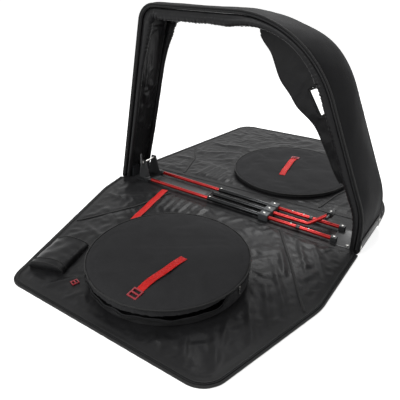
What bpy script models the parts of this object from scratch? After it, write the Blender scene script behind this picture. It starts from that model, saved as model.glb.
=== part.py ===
"""Soft travel bag for a complete bicycle, laid open: a padded hoop stands on its base, both side
panels lie flat beside it with a round wheel pocket on each, and a telescoping stand lies on the base.

X runs along the bag with its fork end at +X, Y runs across it with the front panel at -Y, Z is up.
The origin is on the floor under the middle of the hoop."""

import math

import bmesh
import bpy
from mathutils import Matrix, Vector

# Driving sizes of the bag, in metres
BAG_LENGTH = 1.400
BAG_HEIGHT = 0.966
BAG_DEPTH = 0.290
FIT_GAP = 0.0003

# The hoop narrows towards its rear end, where its back edge stands nearer by the setback
BACK_SETBACK = 0.092
EDGE_BAND = 0.030

# Outline of the standing hoop, seen from the front panel's side
REAR_TOP_INSET = 0.216
REAR_TOP_RADIUS = 0.100
SWEEP_SETBACK = 0.334
SWEEP_RADIUS = 0.510
TOE_HEIGHT = 0.184
TOE_RADIUS = 0.350
ARC_STEP = math.radians(9)

# Counts of faces round curved pieces
ROUND_STEPS = 64
WHEEL_STEPS = 28
TUBE_SIDES = 14
SCREW_SIDES = 10
HOLE_SIDES = 8
ARCH_STEPS = 12
STRAP_STEPS = 12
BEND_STEPS = 5
ROLL_STEPS = 2
PIPING_STEPS = 0
MERGE_DISTANCE = 0.00001

# Layers of the hoop, from its outside inwards
TUB_WALL = 0.004
TUB_UPSTAND = 0.075
TUB_CORNER_RADIUS = 0.020
GUSSET_WALL = 0.016
GUSSET_CROWN = 0.010
GUSSET_CHAMFER = 0.008
GUSSET_FOOT = 0.026
CROWN_START = 0.090
CROWN_MIDDLE = 0.180
CROWN_FULL = 0.300
LINING_WALL = 0.002
EDGE_ROLL_RADIUS = 0.012
ROLL_LIFT_SHARE = 0.25
PIPING_RADIUS = 0.0042
ZIP_WIDTH = 0.0065
ZIP_THICKNESS = 0.0022
PANEL_STANDOFF = 0.0065

# Base layers, from the floor up
BOARD_THICKNESS = 0.0042
BOARD_INSET = 0.026
MAT_THICKNESS = 0.0037

# Side panels, measured from their hinge line
PANEL_HEIGHT = 0.972
PANEL_REAR_TOE = 0.160
PANEL_REAR_TOE_INSET = 0.025
PANEL_REAR_INSET = 0.298
PANEL_FRONT_TOE = 0.420
PANEL_FRONT_INSET = 0.143
PANEL_TOE_RADIUS = 0.300
PANEL_REAR_RADIUS = 0.085
PANEL_FRONT_RADIUS = 0.105
PANEL_SHELL = 0.0098
PANEL_LINING = 0.0024
PANEL_PIPING_RADIUS = 0.0045

# Wheel pockets
POCKET_RADIUS = 0.330
POCKET_WALL = 0.005
POCKET_DEPTH = 0.072
POCKET_ALONG = 0.090
POCKET_ACROSS = 0.553
BACK_POCKET_ALONG = 0.120
BACK_POCKET_ACROSS = 0.346
EMPTY_POCKET_DEPTH = 0.018
POCKET_MOUTH_WALL = 0.034
POCKET_MOUTH_INSET = 0.060
LID_THICKNESS = 0.007
LID_DOME = 0.006
LID_OVERHANG = 0.001
LID_RING_SHARES = (0.0, 0.4, 0.75, 1.0)
LID_PIPING_RADIUS = 0.0034
POCKET_ZIP_DROP = 0.004
POCKET_ZIP_HEIGHT = 0.011

# Straps and their fittings
STRAP_WIDTH = 0.034
STRAP_THICKNESS = 0.0022
HUB_STRAP_LENGTH = 0.245
HUB_STRAP_ALONG = 0.078
HUB_STRAP_ACROSS = 0.000
HUB_STRAP_SKEW = -0.020
BACK_STRAP_ALONG = -0.010
BACK_STRAP_ACROSS = -0.125
HUB_STRAP_HUMP = 0.010
BUCKLE_LENGTH = 0.044
BUCKLE_WIDTH = 0.046
BUCKLE_THICKNESS = 0.0050
BUCKLE_BAR = 0.0055
TIE_STRAP_START_ALONG = -0.362
TIE_STRAP_END_ALONG = -0.262
TIE_STRAP_END_ACROSS = 0.452
TIE_STRAP_BOW = 0.014
SLIDER_LENGTH = 0.012
SLIDER_WIDTH = 0.009
SLIDER_THICKNESS = 0.004
PULL_LENGTH = 0.022
PULL_WIDTH = 0.006
PULL_HOLE = 0.0022

# Pouch on the front panel
POUCH_ALONG = -0.352
POUCH_ACROSS = 0.750
POUCH_TURN = math.radians(17)
POUCH_LENGTH = 0.205
POUCH_WIDTH = 0.160
POUCH_HEIGHT = 0.044
POUCH_WALL = 0.005
POUCH_SQUARENESS = 0.7
POUCH_BUCKLE_ALONG = -0.165
POUCH_BUCKLE_ACROSS = 0.834
POUCH_BUCKLE_LENGTH = 0.030
POUCH_BUCKLE_WIDTH = 0.026

# Web that hangs in the sweep of the roof and takes the handlebar
WEB_THICKNESS = 0.012
WEB_START = 0.070
WEB_LOW = 0.235

# Pad, strap and buckle inside the fork end
PAD_THICKNESS = 0.018
PAD_WIDTH = 0.120
PAD_HEIGHT = 0.175
PAD_ACROSS = 0.045
PAD_LIFT = 0.004
ANCHOR_STRAP_WIDTH = 0.024
ANCHOR_STRAP_LENGTH = 0.085
ANCHOR_HEIGHT = 0.120
ANCHOR_BUCKLE_LENGTH = 0.034
ANCHOR_BUCKLE_WIDTH = 0.034

# Transport wheels in the rear corner of the base
WHEEL_RADIUS = 0.030
WHEEL_WIDTH = 0.024
WHEEL_HUB_WIDTH = 0.044
WHEEL_HUB_RADIUS = 0.012
WHEEL_BORE = 0.0046
WHEEL_SPACING = 0.090
WHEEL_CLEARANCE = 0.0022
WHEEL_SHOULDER_SHARE = 0.93
WHEEL_TREAD_SHARE = 0.6
AXLE_RADIUS = 0.0040
HOUSING_WALL = 0.0030
HOUSING_SIDE_GAP = 0.0012
HOUSING_WHEEL_GAP = 0.006

# Grab handle on the outside of the rear end
HANDLE_WIDTH = 0.032
HANDLE_LENGTH = 0.190
HANDLE_STAND = 0.030
HANDLE_THICKNESS = 0.004
HANDLE_FOOT = 0.030
HANDLE_HEIGHT = 0.520
HANDLE_RAMP_SHARE = 0.72

# Telescoping stand on the base
STAND_FRONT_Y = -0.118
STAND_MIDDLE_Y = -0.062
STAND_REAR_Y = -0.005
STAND_LIFT = 0.004
RAIL_RADIUS = 0.0120
RAIL_BORE = 0.0098
TUBE_RADIUS = 0.0095
COLLAR_RADIUS = 0.0115
COLLAR_LENGTH = 0.018
LUG_LENGTH = 0.027
RAIL_LENGTH = 0.332
RAIL_END_INSET = 0.478
BRACKET_OVERLAP = 0.026
BRACKET_LENGTH = 0.048
BRACKET_RIM = 0.005
SCREW_RADIUS = 0.0055
BRACKET_SCREW_HEIGHT = 0.005
STUD_HEIGHT = 0.006
STUD_INSET = 0.018
TUBE_OVERLAP = 0.070
FOOT_INSET = 0.140
FOOT_LENGTH = 0.095
FOOT_PLATE = 0.003
FOOT_RIM = 0.010
REAR_SLEEVE_INSET = 0.290
FRONT_SLEEVE_INSET = 0.309
STAND_INSET = 0.100
STAND_PLATE_INSET = 0.188
STAND_PLATE_RAIL_GAP = 0.030
STAND_PLATE_THICKNESS = 0.003
STAND_PLATE_MARGIN = 0.004
CHEEK_THICKNESS = 0.005
CHEEK_HEIGHT = 0.120
CHEEK_TOP = 0.030
CHEEK_SPACING = 0.088
SKEWER_RADIUS = 0.005
SKEWER_OVERHANG = 0.016
LEVER_LENGTH = 0.058
LEVER_WIDTH = 0.014
LEVER_THICKNESS = 0.006
LEVER_TIP_SHARE = 0.8
LEVER_NARROW_SHARE = 0.7
ARM_RADIUS = 0.0095
ARM_BEND_INSET = 0.275
ARM_BEND_RADIUS = 0.030
ARM_RUN = 0.085
ARM_SIDEWAYS = 0.055
ARM_RISE = 0.055
FORK_AXLE_LENGTH = 0.110
FORK_AXLE_RADIUS = 0.0075
FORK_CLAMP_RADIUS = 0.015
FORK_CLAMP_LENGTH = 0.034

# Hoop sliders
HOOP_SLIDER_HEIGHT = 0.046

# Values worked out from the sizes above
HALF_LENGTH = BAG_LENGTH / 2
HALF_DEPTH = BAG_DEPTH / 2
GUSSET_OUTER = TUB_WALL + FIT_GAP
GUSSET_INNER = GUSSET_OUTER + GUSSET_WALL
LINING_OUTER = GUSSET_INNER + FIT_GAP
LINING_INNER = LINING_OUTER + LINING_WALL
CROWN_HEIGHTS = (CROWN_START, CROWN_MIDDLE, CROWN_FULL)
ROLL_CENTRE = LINING_INNER + FIT_GAP + EDGE_ROLL_RADIUS
BOARD_BOTTOM = TUB_WALL + FIT_GAP
BOARD_TOP = BOARD_BOTTOM + BOARD_THICKNESS
MAT_BOTTOM = BOARD_TOP + FIT_GAP
MAT_TOP = MAT_BOTTOM + MAT_THICKNESS
PANEL_THICKNESS = PANEL_SHELL + FIT_GAP + PANEL_LINING
HINGE_Y = HALF_DEPTH + PANEL_STANDOFF
HINGE_Z = PANEL_THICKNESS
WALL_BOTTOM = PANEL_THICKNESS + FIT_GAP
WALL_TOP = WALL_BOTTOM + POCKET_DEPTH
LID_BOTTOM = WALL_TOP + FIT_GAP
LID_TOP = LID_BOTTOM + LID_THICKNESS
LID_RADIUS = POCKET_RADIUS - LID_OVERHANG
STAND_Z = MAT_TOP + STAND_LIFT + RAIL_RADIUS
RAIL_END = HALF_LENGTH - RAIL_END_INSET
RAIL_START = RAIL_END - RAIL_LENGTH
BRACKET_START = RAIL_END - BRACKET_OVERLAP
FOOT_START = HALF_LENGTH - FOOT_INSET
STAND_START = -HALF_LENGTH + STAND_INSET
STAND_PLATE_START = -HALF_LENGTH + STAND_PLATE_INSET
STAND_PLATE_END = RAIL_START - STAND_PLATE_RAIL_GAP
FRONT, BACK = -1, 1
SIDE_NAMES = {FRONT: "front", BACK: "back"}
TAPER_ANGLE = math.atan(BACK_SETBACK / BAG_LENGTH)
PANEL_TURN = {FRONT: 0.0, BACK: TAPER_ANGLE}
POCKET_SINK = {FRONT: 0.0, BACK: POCKET_DEPTH - EMPTY_POCKET_DEPTH}
STRAP_PLACE = {
    FRONT: (HUB_STRAP_ALONG, HUB_STRAP_ACROSS),
    BACK: (BACK_STRAP_ALONG, BACK_STRAP_ACROSS),
}


# Scene, collections and materials


def clear_scene():
    for found in list(bpy.data.objects):
        bpy.data.objects.remove(found, do_unlink=True)


def new_collection(name):
    group = bpy.data.collections.new(name)
    bpy.context.scene.collection.children.link(group)
    return group


def new_material(name, colour, roughness, metallic=0.0):
    found = bpy.data.materials.new(name)
    found.use_nodes = True
    shader = found.node_tree.nodes["Principled BSDF"]
    shader.inputs["Base Color"].default_value = (*colour, 1.0)
    shader.inputs["Roughness"].default_value = roughness
    shader.inputs["Metallic"].default_value = metallic
    return found


def finish(part, material, group):
    part.data.materials.append(material)
    group.objects.link(part)
    return part


def carry(parts, name, place, group, turn=0.0):
    """Parents parts to an empty on their joint's axis and turns it about the hinge's front end."""
    pivot = bpy.data.objects.new(name, None)
    corner = Vector((HALF_LENGTH, HINGE_Y, 0.0))
    pivot.location = corner + Matrix.Rotation(turn, 3, "Z") @ (Vector(place) - corner)
    pivot.rotation_euler.z = turn
    group.objects.link(pivot)
    offset = Matrix.Translation(Vector(place)).inverted()
    for part in parts:
        part.parent = pivot
        part.matrix_parent_inverse = offset
    return pivot


# Outlines


def inset_corners(corners, inset):
    """Corners of the same open outline moved inwards, to the right of its direction."""
    lines = []
    for start, end in zip(corners, corners[1:]):
        along = (Vector(end) - Vector(start)).normalized()
        inward = Vector((along.y, -along.x))
        lines.append((Vector(start) + inward * inset, along))
    moved = [at_height(*lines[0], corners[0][1])]
    for (a, u), (b, v) in zip(lines, lines[1:]):
        cross = u.x * v.y - u.y * v.x
        reach = ((b.x - a.x) * v.y - (b.y - a.y) * v.x) / cross
        moved.append(a + u * reach)
    moved.append(at_height(*lines[-1], corners[-1][1]))
    return moved


def at_height(place, along, height):
    return place + along * (height - place.y) / along.y


def rounded_path(corners, radii, inset=0.0):
    """Open outline through the corners, each rounded by an arc, moved inwards by inset."""
    moved = inset_corners(corners, inset)
    points = [moved[0]]
    for index, radius in enumerate(radii, start=1):
        before, corner, after = moved[index - 1], moved[index], moved[index + 1]
        u = (before - corner).normalized()
        v = (after - corner).normalized()
        turn = math.pi - u.angle(v)
        bend = max(radius - inset, FIT_GAP)
        tangent = bend * math.tan(turn / 2)
        centre = corner + (u + v).normalized() * bend / math.cos(turn / 2)
        spoke = corner + u * tangent - centre
        steps = max(2, round(turn / ARC_STEP))
        for step in range(steps + 1):
            angle = -turn * step / steps
            points.append(centre + Matrix.Rotation(angle, 2) @ spoke)
    points.append(moved[-1])
    return points


def hoop_corners(foot=0.0):
    """The hoop's outline from its rear foot over the roof to its front foot."""
    lean_share = REAR_TOP_INSET / BAG_HEIGHT
    corners = [
        (-HALF_LENGTH + lean_share * foot, foot),
        (-HALF_LENGTH + REAR_TOP_INSET, BAG_HEIGHT),
        (HALF_LENGTH - SWEEP_SETBACK, BAG_HEIGHT),
        (HALF_LENGTH, TOE_HEIGHT),
        (HALF_LENGTH, foot),
    ]
    return corners, [REAR_TOP_RADIUS, SWEEP_RADIUS, TOE_RADIUS]


def hoop_path(inset=0.0, foot=0.0):
    corners, radii = hoop_corners(foot)
    return rounded_path(corners, radii, inset)


def set_back_at(along):
    """How far the hoop's back edge stands nearer at a place along the bag."""
    return BACK_SETBACK * (HALF_LENGTH - along) / BAG_LENGTH


def panel_path(side, inset=0.0):
    """A side panel's outline from its hinge, in distances along and across from the hinge."""
    if side == BACK:
        return hoop_path(inset)
    corners = [
        (-HALF_LENGTH, 0.0),
        (-HALF_LENGTH + PANEL_REAR_TOE_INSET, PANEL_REAR_TOE),
        (-HALF_LENGTH + PANEL_REAR_INSET, PANEL_HEIGHT),
        (HALF_LENGTH - PANEL_FRONT_INSET, PANEL_HEIGHT),
        (HALF_LENGTH, PANEL_FRONT_TOE),
        (HALF_LENGTH, 0.0),
    ]
    radii = [PANEL_TOE_RADIUS, PANEL_REAR_RADIUS, PANEL_FRONT_RADIUS, PANEL_TOE_RADIUS]
    return rounded_path(corners, radii, inset)


def between(path, start, end, axis=0):
    """The stretch of an outline between two values of x, or of height, with both ends exact."""
    kept = []
    for a, b in zip(path, path[1:]):
        low, high = sorted((a[axis], b[axis]))
        if high <= start or low >= end or low == high:
            continue
        for point in (a, b):
            level = min(max(point[axis], start), end)
            place = a.lerp(b, (level - a[axis]) / (b[axis] - a[axis]))
            if not kept or (place - kept[-1]).length > FIT_GAP:
                kept.append(place)
    return kept


def strip_between(outer, inner):
    return list(outer) + list(reversed(inner))


def circle(radius, centre=(0.0, 0.0), steps=24):
    turns = [math.tau * step / steps for step in range(steps)]
    return [(centre[0] + radius * math.cos(t), centre[1] + radius * math.sin(t)) for t in turns]


def rectangle(length, width, centre=(0.0, 0.0)):
    x, y = centre
    u, v = length / 2, width / 2
    return [(x - u, y - v), (x + u, y - v), (x + u, y + v), (x - u, y + v)]


# Solids


def flat_solid(name, loops, thickness):
    """A flat outline, with any holes as further loops, as a filled and extruded 2D curve."""
    shape = bpy.data.curves.new(name, "CURVE")
    shape.dimensions = "2D"
    shape.fill_mode = "BOTH"
    shape.extrude = thickness / 2
    for loop in loops:
        spline = shape.splines.new("POLY")
        spline.points.add(len(loop) - 1)
        for point, (x, y) in zip(spline.points, loop):
            point.co = (x, y, 0.0, 1.0)
        spline.use_cyclic_u = True
    return bpy.data.objects.new(name, shape)


def upright(part, y):
    """Stands a flat solid in the XZ plane, with its middle at y."""
    part.rotation_euler = (math.pi / 2, 0.0, 0.0)
    part.location = (0.0, y, 0.0)
    return part


def endwise(part, x):
    """Turns a flat solid into the YZ plane, with its middle at x."""
    part.rotation_euler = (math.pi / 2, 0.0, math.pi / 2)
    part.location = (x, 0.0, 0.0)
    return part


def tube(name, points, radius, detail=ROLL_STEPS, closed=False):
    shape = bpy.data.curves.new(name, "CURVE")
    shape.dimensions = "3D"
    shape.bevel_depth = radius
    shape.bevel_resolution = detail
    shape.use_fill_caps = True
    spline = shape.splines.new("POLY")
    spline.points.add(len(points) - 1)
    for point, place in zip(spline.points, points):
        point.co = (*place, 1.0)
    spline.use_cyclic_u = closed
    return bpy.data.objects.new(name, shape)


def box(name, size, centre):
    mesh = bpy.data.meshes.new(name)
    shape = bmesh.new()
    bmesh.ops.create_cube(shape, size=1.0)
    bmesh.ops.scale(shape, vec=size, verts=shape.verts)
    shape.to_mesh(mesh)
    shape.free()
    part = bpy.data.objects.new(name, mesh)
    part.location = centre
    return part


def rod(name, radius, length, centre, along=(1.0, 0.0, 0.0), sides=TUBE_SIDES):
    mesh = bpy.data.meshes.new(name)
    shape = bmesh.new()
    bmesh.ops.create_cone(
        shape, cap_ends=True, segments=sides, radius1=radius, radius2=radius, depth=length
    )
    shape.to_mesh(mesh)
    shape.free()
    part = bpy.data.objects.new(name, mesh)
    part.rotation_euler = Vector((0.0, 0.0, 1.0)).rotation_difference(Vector(along)).to_euler()
    part.location = centre
    return part


def pipe(name, radius, bore, start, end, y, z):
    """A hollow round tube along X."""
    loops = [circle(radius, (y, z), TUBE_SIDES), circle(bore, (y, z), TUBE_SIDES)]
    return endwise(flat_solid(name, loops, end - start), (start + end) / 2)


def turned(name, profile, closed, steps=ROUND_STEPS):
    """A profile in radius and height, turned about Z by a Screw modifier."""
    mesh = bpy.data.meshes.new(name)
    count = len(profile)
    edges = [(index, index + 1) for index in range(count - 1)]
    if closed:
        edges.append((count - 1, 0))
    mesh.from_pydata([(radius, 0.0, height) for radius, height in profile], edges, [])
    part = bpy.data.objects.new(name, mesh)
    screw = part.modifiers.new("turn", "SCREW")
    screw.steps = steps
    screw.render_steps = steps
    screw.use_merge_vertices = True
    screw.merge_threshold = MERGE_DISTANCE
    return part


def ribbon(name, points, across, thickness):
    """A flat strap along the points: across is half its width, and its thickness is added upwards."""
    across = Vector(across)
    places = [Vector(point) for point in points]
    shape = bmesh.new()
    rings = []
    for index, place in enumerate(places):
        ahead = places[min(index + 1, len(places) - 1)]
        behind = places[max(index - 1, 0)]
        up = across.cross(ahead - behind).normalized() * thickness
        if up.z < 0:
            up = -up
        corners = (place - across, place + across, place + across + up, place - across + up)
        rings.append([shape.verts.new(corner) for corner in corners])
    skin_rings(shape, rings)
    return loft_object(name, shape)


def skin_rings(shape, rings):
    count = len(rings[0])
    for ring, following in zip(rings, rings[1:]):
        for side in range(count):
            after = (side + 1) % count
            shape.faces.new((ring[side], ring[after], following[after], following[side]))
    shape.faces.new(rings[0])
    shape.faces.new(rings[-1])


def loft_object(name, shape):
    bmesh.ops.recalc_face_normals(shape, faces=shape.faces)
    mesh = bpy.data.meshes.new(name)
    shape.to_mesh(mesh)
    shape.free()
    return bpy.data.objects.new(name, mesh)


def as_mesh(part):
    """Makes a curve object a mesh, so that it can be cut or joined."""
    holder = bpy.context.scene.collection
    holder.objects.link(part)
    bpy.context.view_layer.update()
    graph = bpy.context.evaluated_depsgraph_get()
    mesh = bpy.data.meshes.new_from_object(part.evaluated_get(graph))
    shape = bmesh.new()
    shape.from_mesh(mesh)
    bmesh.ops.remove_doubles(shape, verts=shape.verts, dist=MERGE_DISTANCE)
    shape.to_mesh(mesh)
    shape.free()
    solid = bpy.data.objects.new(part.name, mesh)
    solid.matrix_world = part.matrix_world.copy()
    name = part.name
    bpy.data.objects.remove(part, do_unlink=True)
    solid.name = name
    return solid


def narrowed(part):
    """Squeezes a mesh of the hoop across its depth, with the two edge bands kept whole."""
    mesh = part.data
    mesh.transform(part.matrix_basis)
    part.matrix_basis = Matrix.Identity(4)
    for corner in mesh.vertices:
        share = (corner.co.y + HALF_DEPTH - EDGE_BAND) / (BAG_DEPTH - 2 * EDGE_BAND)
        corner.co.y -= set_back_at(corner.co.x) * min(max(share, 0.0), 1.0)
    return part


def combine(part, other, operation, cutters):
    """Adds a Boolean with another solid, which stays as a hidden wire."""
    other.hide_render = True
    other.display_type = "WIRE"
    if other.name not in cutters.objects:
        cutters.objects.link(other)
    change = part.modifiers.new(other.name, "BOOLEAN")
    change.object = other
    change.operation = operation
    change.solver = "EXACT"
    return part


def join_solids(part, others, cutters):
    for other in others:
        combine(part, other, "UNION", cutters)
    return part


def cut(part, others, cutters):
    for other in others:
        combine(part, other, "DIFFERENCE", cutters)
    return part


# The standing hoop


def smooth_rise(value, start, full):
    share = min(max((value - start) / (full - start), 0.0), 1.0)
    return share * share * (3 - 2 * share)


def with_heights(outer, inner, heights):
    """Adds a pair of points to two outlines wherever the first one passes a height."""
    pairs = [(outer[0], inner[0])]
    for a, b in zip(list(zip(outer, inner)), list(zip(outer[1:], inner[1:]))):
        low, high = sorted((a[0].y, b[0].y))
        passed = sorted((height for height in heights if low < height < high), reverse=a[0].y > b[0].y)
        for height in passed:
            share = (height - a[0].y) / (b[0].y - a[0].y)
            pairs.append((a[0].lerp(b[0], share), a[1].lerp(b[1], share)))
        pairs.append(b)
    return pairs


def gusset(name):
    """The padded band over the bike, crowned across its width above the base."""
    outer = hoop_path(GUSSET_OUTER, GUSSET_FOOT)
    inner = hoop_path(GUSSET_INNER, GUSSET_FOOT)
    width_shares = (-0.62, 0.0, 0.62)
    crown_shares = (0.72, 1.0, 0.72)
    shape = bmesh.new()
    rings = []
    for outside, inside in with_heights(outer, inner, CROWN_HEIGHTS):
        away = (outside - inside).normalized()
        crown = GUSSET_CROWN * smooth_rise(outside.y, CROWN_START, CROWN_FULL)
        section = [(-GUSSET_CHAMFER, -HALF_DEPTH), (0.0, -HALF_DEPTH + GUSSET_CHAMFER)]
        for width_share, crown_share in zip(width_shares, crown_shares):
            section.append((crown * crown_share, width_share * HALF_DEPTH))
        section += [(0.0, HALF_DEPTH - GUSSET_CHAMFER), (-GUSSET_CHAMFER, HALF_DEPTH)]
        section += [(-GUSSET_WALL, HALF_DEPTH), (-GUSSET_WALL, -HALF_DEPTH)]
        ring = []
        for outward, y in section:
            place = outside + away * outward
            ring.append(shape.verts.new((place.x, y, place.y)))
        rings.append(ring)
    skin_rings(shape, rings)
    return loft_object(name, shape)


def gusset_lining(name):
    loop = strip_between(
        hoop_path(LINING_OUTER, MAT_TOP + FIT_GAP), hoop_path(LINING_INNER, MAT_TOP + FIT_GAP)
    )
    return as_mesh(upright(flat_solid(name, [loop], BAG_DEPTH - LINING_WALL), 0.0))


def base_tub(name):
    lean_share = REAR_TOP_INSET / BAG_HEIGHT
    corners = [
        (-HALF_LENGTH + lean_share * TUB_UPSTAND, TUB_UPSTAND),
        (-HALF_LENGTH, 0.0),
        (HALF_LENGTH, 0.0),
        (HALF_LENGTH, TUB_UPSTAND),
    ]
    corners = list(reversed(corners))
    radii = [TUB_CORNER_RADIUS, TUB_CORNER_RADIUS]
    loop = strip_between(rounded_path(corners, radii), rounded_path(corners, radii, TUB_WALL))
    return as_mesh(upright(flat_solid(name, [loop], BAG_DEPTH), 0.0))


def base_layer(name, bottom, thickness, depth, end_inset):
    length = BAG_LENGTH - end_inset - end_inset
    return box(name, (length, depth, thickness), (0.0, 0.0, bottom + thickness / 2))


def along_edge(side, inset, y, foot, name, radius, detail):
    """A round roll or piping that follows the hoop's edge."""
    points = []
    for point in hoop_path(inset, foot):
        nearer = set_back_at(point.x) if side == BACK else 0.0
        points.append((point.x, side * y - nearer, point.y))
    return tube(name, points, radius, detail)


def hoop_edge(side, label):
    chamfer_half = GUSSET_CHAMFER / 2
    out = (PIPING_RADIUS * math.sqrt(0.5) + FIT_GAP) * math.sqrt(0.5)
    piping_inset = GUSSET_OUTER + chamfer_half - out
    piping_y = HALF_DEPTH - chamfer_half + out
    roll_y = HALF_DEPTH - EDGE_ROLL_RADIUS - LINING_WALL
    roll_foot = MAT_TOP + FIT_GAP + EDGE_ROLL_RADIUS * ROLL_LIFT_SHARE
    piping_foot = TUB_UPSTAND + PIPING_RADIUS
    roll = along_edge(
        side, ROLL_CENTRE, roll_y, roll_foot, label + "_edge_roll", EDGE_ROLL_RADIUS, ROLL_STEPS
    )
    piping = along_edge(
        side, piping_inset, piping_y, piping_foot, label + "_edge_piping", PIPING_RADIUS, PIPING_STEPS
    )
    track_outer = GUSSET_OUTER + GUSSET_CHAMFER + FIT_GAP
    track = strip_between(
        hoop_path(track_outer, GUSSET_FOOT), hoop_path(track_outer + ZIP_WIDTH, GUSSET_FOOT)
    )
    track_y = side * (HALF_DEPTH + FIT_GAP + ZIP_THICKNESS / 2)
    zip_track = upright(flat_solid(label + "_zip_track", [track], ZIP_THICKNESS), track_y)
    if side == BACK:
        zip_track = narrowed(as_mesh(zip_track))
    return roll, piping, zip_track


def zip_slider(name):
    """A slider body with its pull in one outline, lying in XY with the pull towards -Y."""
    half_body, half_pull = SLIDER_WIDTH / 2, PULL_WIDTH / 2
    end = -SLIDER_LENGTH / 2 - PULL_LENGTH
    outline = [
        (-half_body, SLIDER_LENGTH / 2),
        (-half_body, -SLIDER_LENGTH / 2),
        (-half_pull, -SLIDER_LENGTH / 2 - half_body),
        (-half_pull, end),
        (half_pull, end),
        (half_pull, -SLIDER_LENGTH / 2 - half_body),
        (half_body, -SLIDER_LENGTH / 2),
        (half_body, SLIDER_LENGTH / 2),
    ]
    hole = circle(PULL_HOLE, (0.0, end + PULL_WIDTH), HOLE_SIDES)
    return flat_solid(name, [outline, hole], SLIDER_THICKNESS)


def hoop_slider(side, label):
    """The slider of a panel's zip, parked at the front foot of the hoop."""
    part = zip_slider(label + "_zip_slider")
    out = HALF_LENGTH + FIT_GAP + SLIDER_THICKNESS / 2
    part.rotation_euler = (math.pi / 2, 0.0, math.pi / 2)
    part.location = (out, side * (HALF_DEPTH - SLIDER_WIDTH / 2), HOOP_SLIDER_HEIGHT)
    return part


def handlebar_web(name):
    """A padded web that hangs inside the sweep of the roof, with a hole for the handlebar."""
    roof = between(hoop_path(LINING_INNER + FIT_GAP), WEB_START, HALF_LENGTH)
    edge = between(roof, WEB_LOW, BAG_HEIGHT, axis=1)
    free_edge_shares = [
        (0.754, 0.257),
        (0.714, 0.291),
        (0.667, 0.358),
        (0.597, 0.446),
        (0.546, 0.511),
        (0.450, 0.560),
        (0.400, 0.578),
        (0.373, 0.621),
        (0.326, 0.657),
        (0.281, 0.681),
        (0.229, 0.766),
        (0.200, 0.826),
        (0.141, 0.857),
        (0.109, 0.907),
    ]
    hole_shares = [(0.473, 0.665), (0.540, 0.689), (0.623, 0.587), (0.571, 0.553)]
    free_edge, hole = (
        [(HALF_LENGTH * x_share, BAG_HEIGHT * z_share) for x_share, z_share in shares]
        for shares in (free_edge_shares, hole_shares)
    )
    outline = [tuple(point) for point in edge] + free_edge
    return upright(flat_solid(name, [outline, hole], WEB_THICKNESS), 0.0)


def front_wall(inset, low, high):
    """The hoop's fork end between two heights, moved inwards by inset."""
    path = hoop_path(inset)
    return between([point for point in path if point.x > HALF_LENGTH / 2], low, high, axis=1)


def wall_strip(name, inset, thickness, low, high, width):
    """A layer on the inside of the fork end, between two heights."""
    loop = strip_between(front_wall(inset, low, high), front_wall(inset + thickness, low, high))
    return upright(flat_solid(name, [loop], width), PAD_ACROSS)


def fork_end_pad(name):
    low = MAT_TOP + PAD_LIFT
    return wall_strip(name, LINING_INNER + FIT_GAP, PAD_THICKNESS, low, low + PAD_HEIGHT, PAD_WIDTH)


def anchor(group, materials):
    """Webbing with a buckle, sewn to the pad in the fork end."""
    inset = LINING_INNER + FIT_GAP + PAD_THICKNESS + FIT_GAP
    top = ANCHOR_HEIGHT + ANCHOR_STRAP_LENGTH / 2
    low = ANCHOR_HEIGHT - ANCHOR_STRAP_LENGTH / 2
    strap = wall_strip("anchor_strap", inset, STRAP_THICKNESS, low, top, ANCHOR_STRAP_WIDTH)
    buckle = ladder_buckle("anchor_buckle", ANCHOR_BUCKLE_LENGTH, ANCHOR_BUCKLE_WIDTH)
    wall = front_wall(inset + STRAP_THICKNESS, low, low + ANCHOR_BUCKLE_LENGTH)
    face = min(point[0] for point in wall) - FIT_GAP
    buckle.rotation_euler = (math.pi / 2, 0.0, math.pi / 2)
    place = low + ANCHOR_BUCKLE_LENGTH / 2
    buckle.location = (face - BUCKLE_THICKNESS / 2, PAD_ACROSS, place)
    finish(strap, materials["webbing"], group)
    finish(buckle, materials["buckle_black"], group)


def grab_handle(name):
    """A webbing loop on the outside of the rear end, as a side outline extruded to its width."""
    rear_angle = math.atan2(BAG_HEIGHT, REAR_TOP_INSET)
    up = Vector((math.cos(rear_angle), math.sin(rear_angle)))
    out = Vector((-up.y, up.x))
    share = HANDLE_HEIGHT / BAG_HEIGHT
    middle = Vector((-HALF_LENGTH + REAR_TOP_INSET * share, HANDLE_HEIGHT))
    crown = GUSSET_CROWN - GUSSET_OUTER
    half = HANDLE_LENGTH / 2
    run = half - HANDLE_FOOT
    outside = [
        (-half, HANDLE_THICKNESS),
        (-run, HANDLE_THICKNESS),
        (-run * HANDLE_RAMP_SHARE, HANDLE_STAND),
        (run * HANDLE_RAMP_SHARE, HANDLE_STAND),
        (run, HANDLE_THICKNESS),
        (half, HANDLE_THICKNESS),
    ]
    inside = [(along, stand - HANDLE_THICKNESS) for along, stand in outside]
    loop = []
    for along, stand in outside + list(reversed(inside)):
        place = middle + up * along + out * (stand + crown + FIT_GAP)
        loop.append(tuple(place))
    return upright(flat_solid(name, [loop], HANDLE_WIDTH), -set_back_at(middle.x) / 2)


# Transport wheels


def wheel_across(side):
    """Place of a wheel across the narrow rear end."""
    return (side * WHEEL_SPACING - BACK_SETBACK) / 2


def wheel_place(side):
    wheel_x = -HALF_LENGTH + WHEEL_RADIUS + FIT_GAP
    return Vector((wheel_x, wheel_across(side), WHEEL_RADIUS + WHEEL_CLEARANCE))


def housing_size():
    """Outside length, width and top of a wheel's housing."""
    length = WHEEL_RADIUS + WHEEL_RADIUS + HOUSING_WHEEL_GAP + HOUSING_WALL
    width = WHEEL_HUB_WIDTH + 2 * (HOUSING_SIDE_GAP + HOUSING_WALL)
    top = WHEEL_CLEARANCE + WHEEL_RADIUS + WHEEL_RADIUS + HOUSING_WHEEL_GAP + HOUSING_WALL
    return length, width, top


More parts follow.
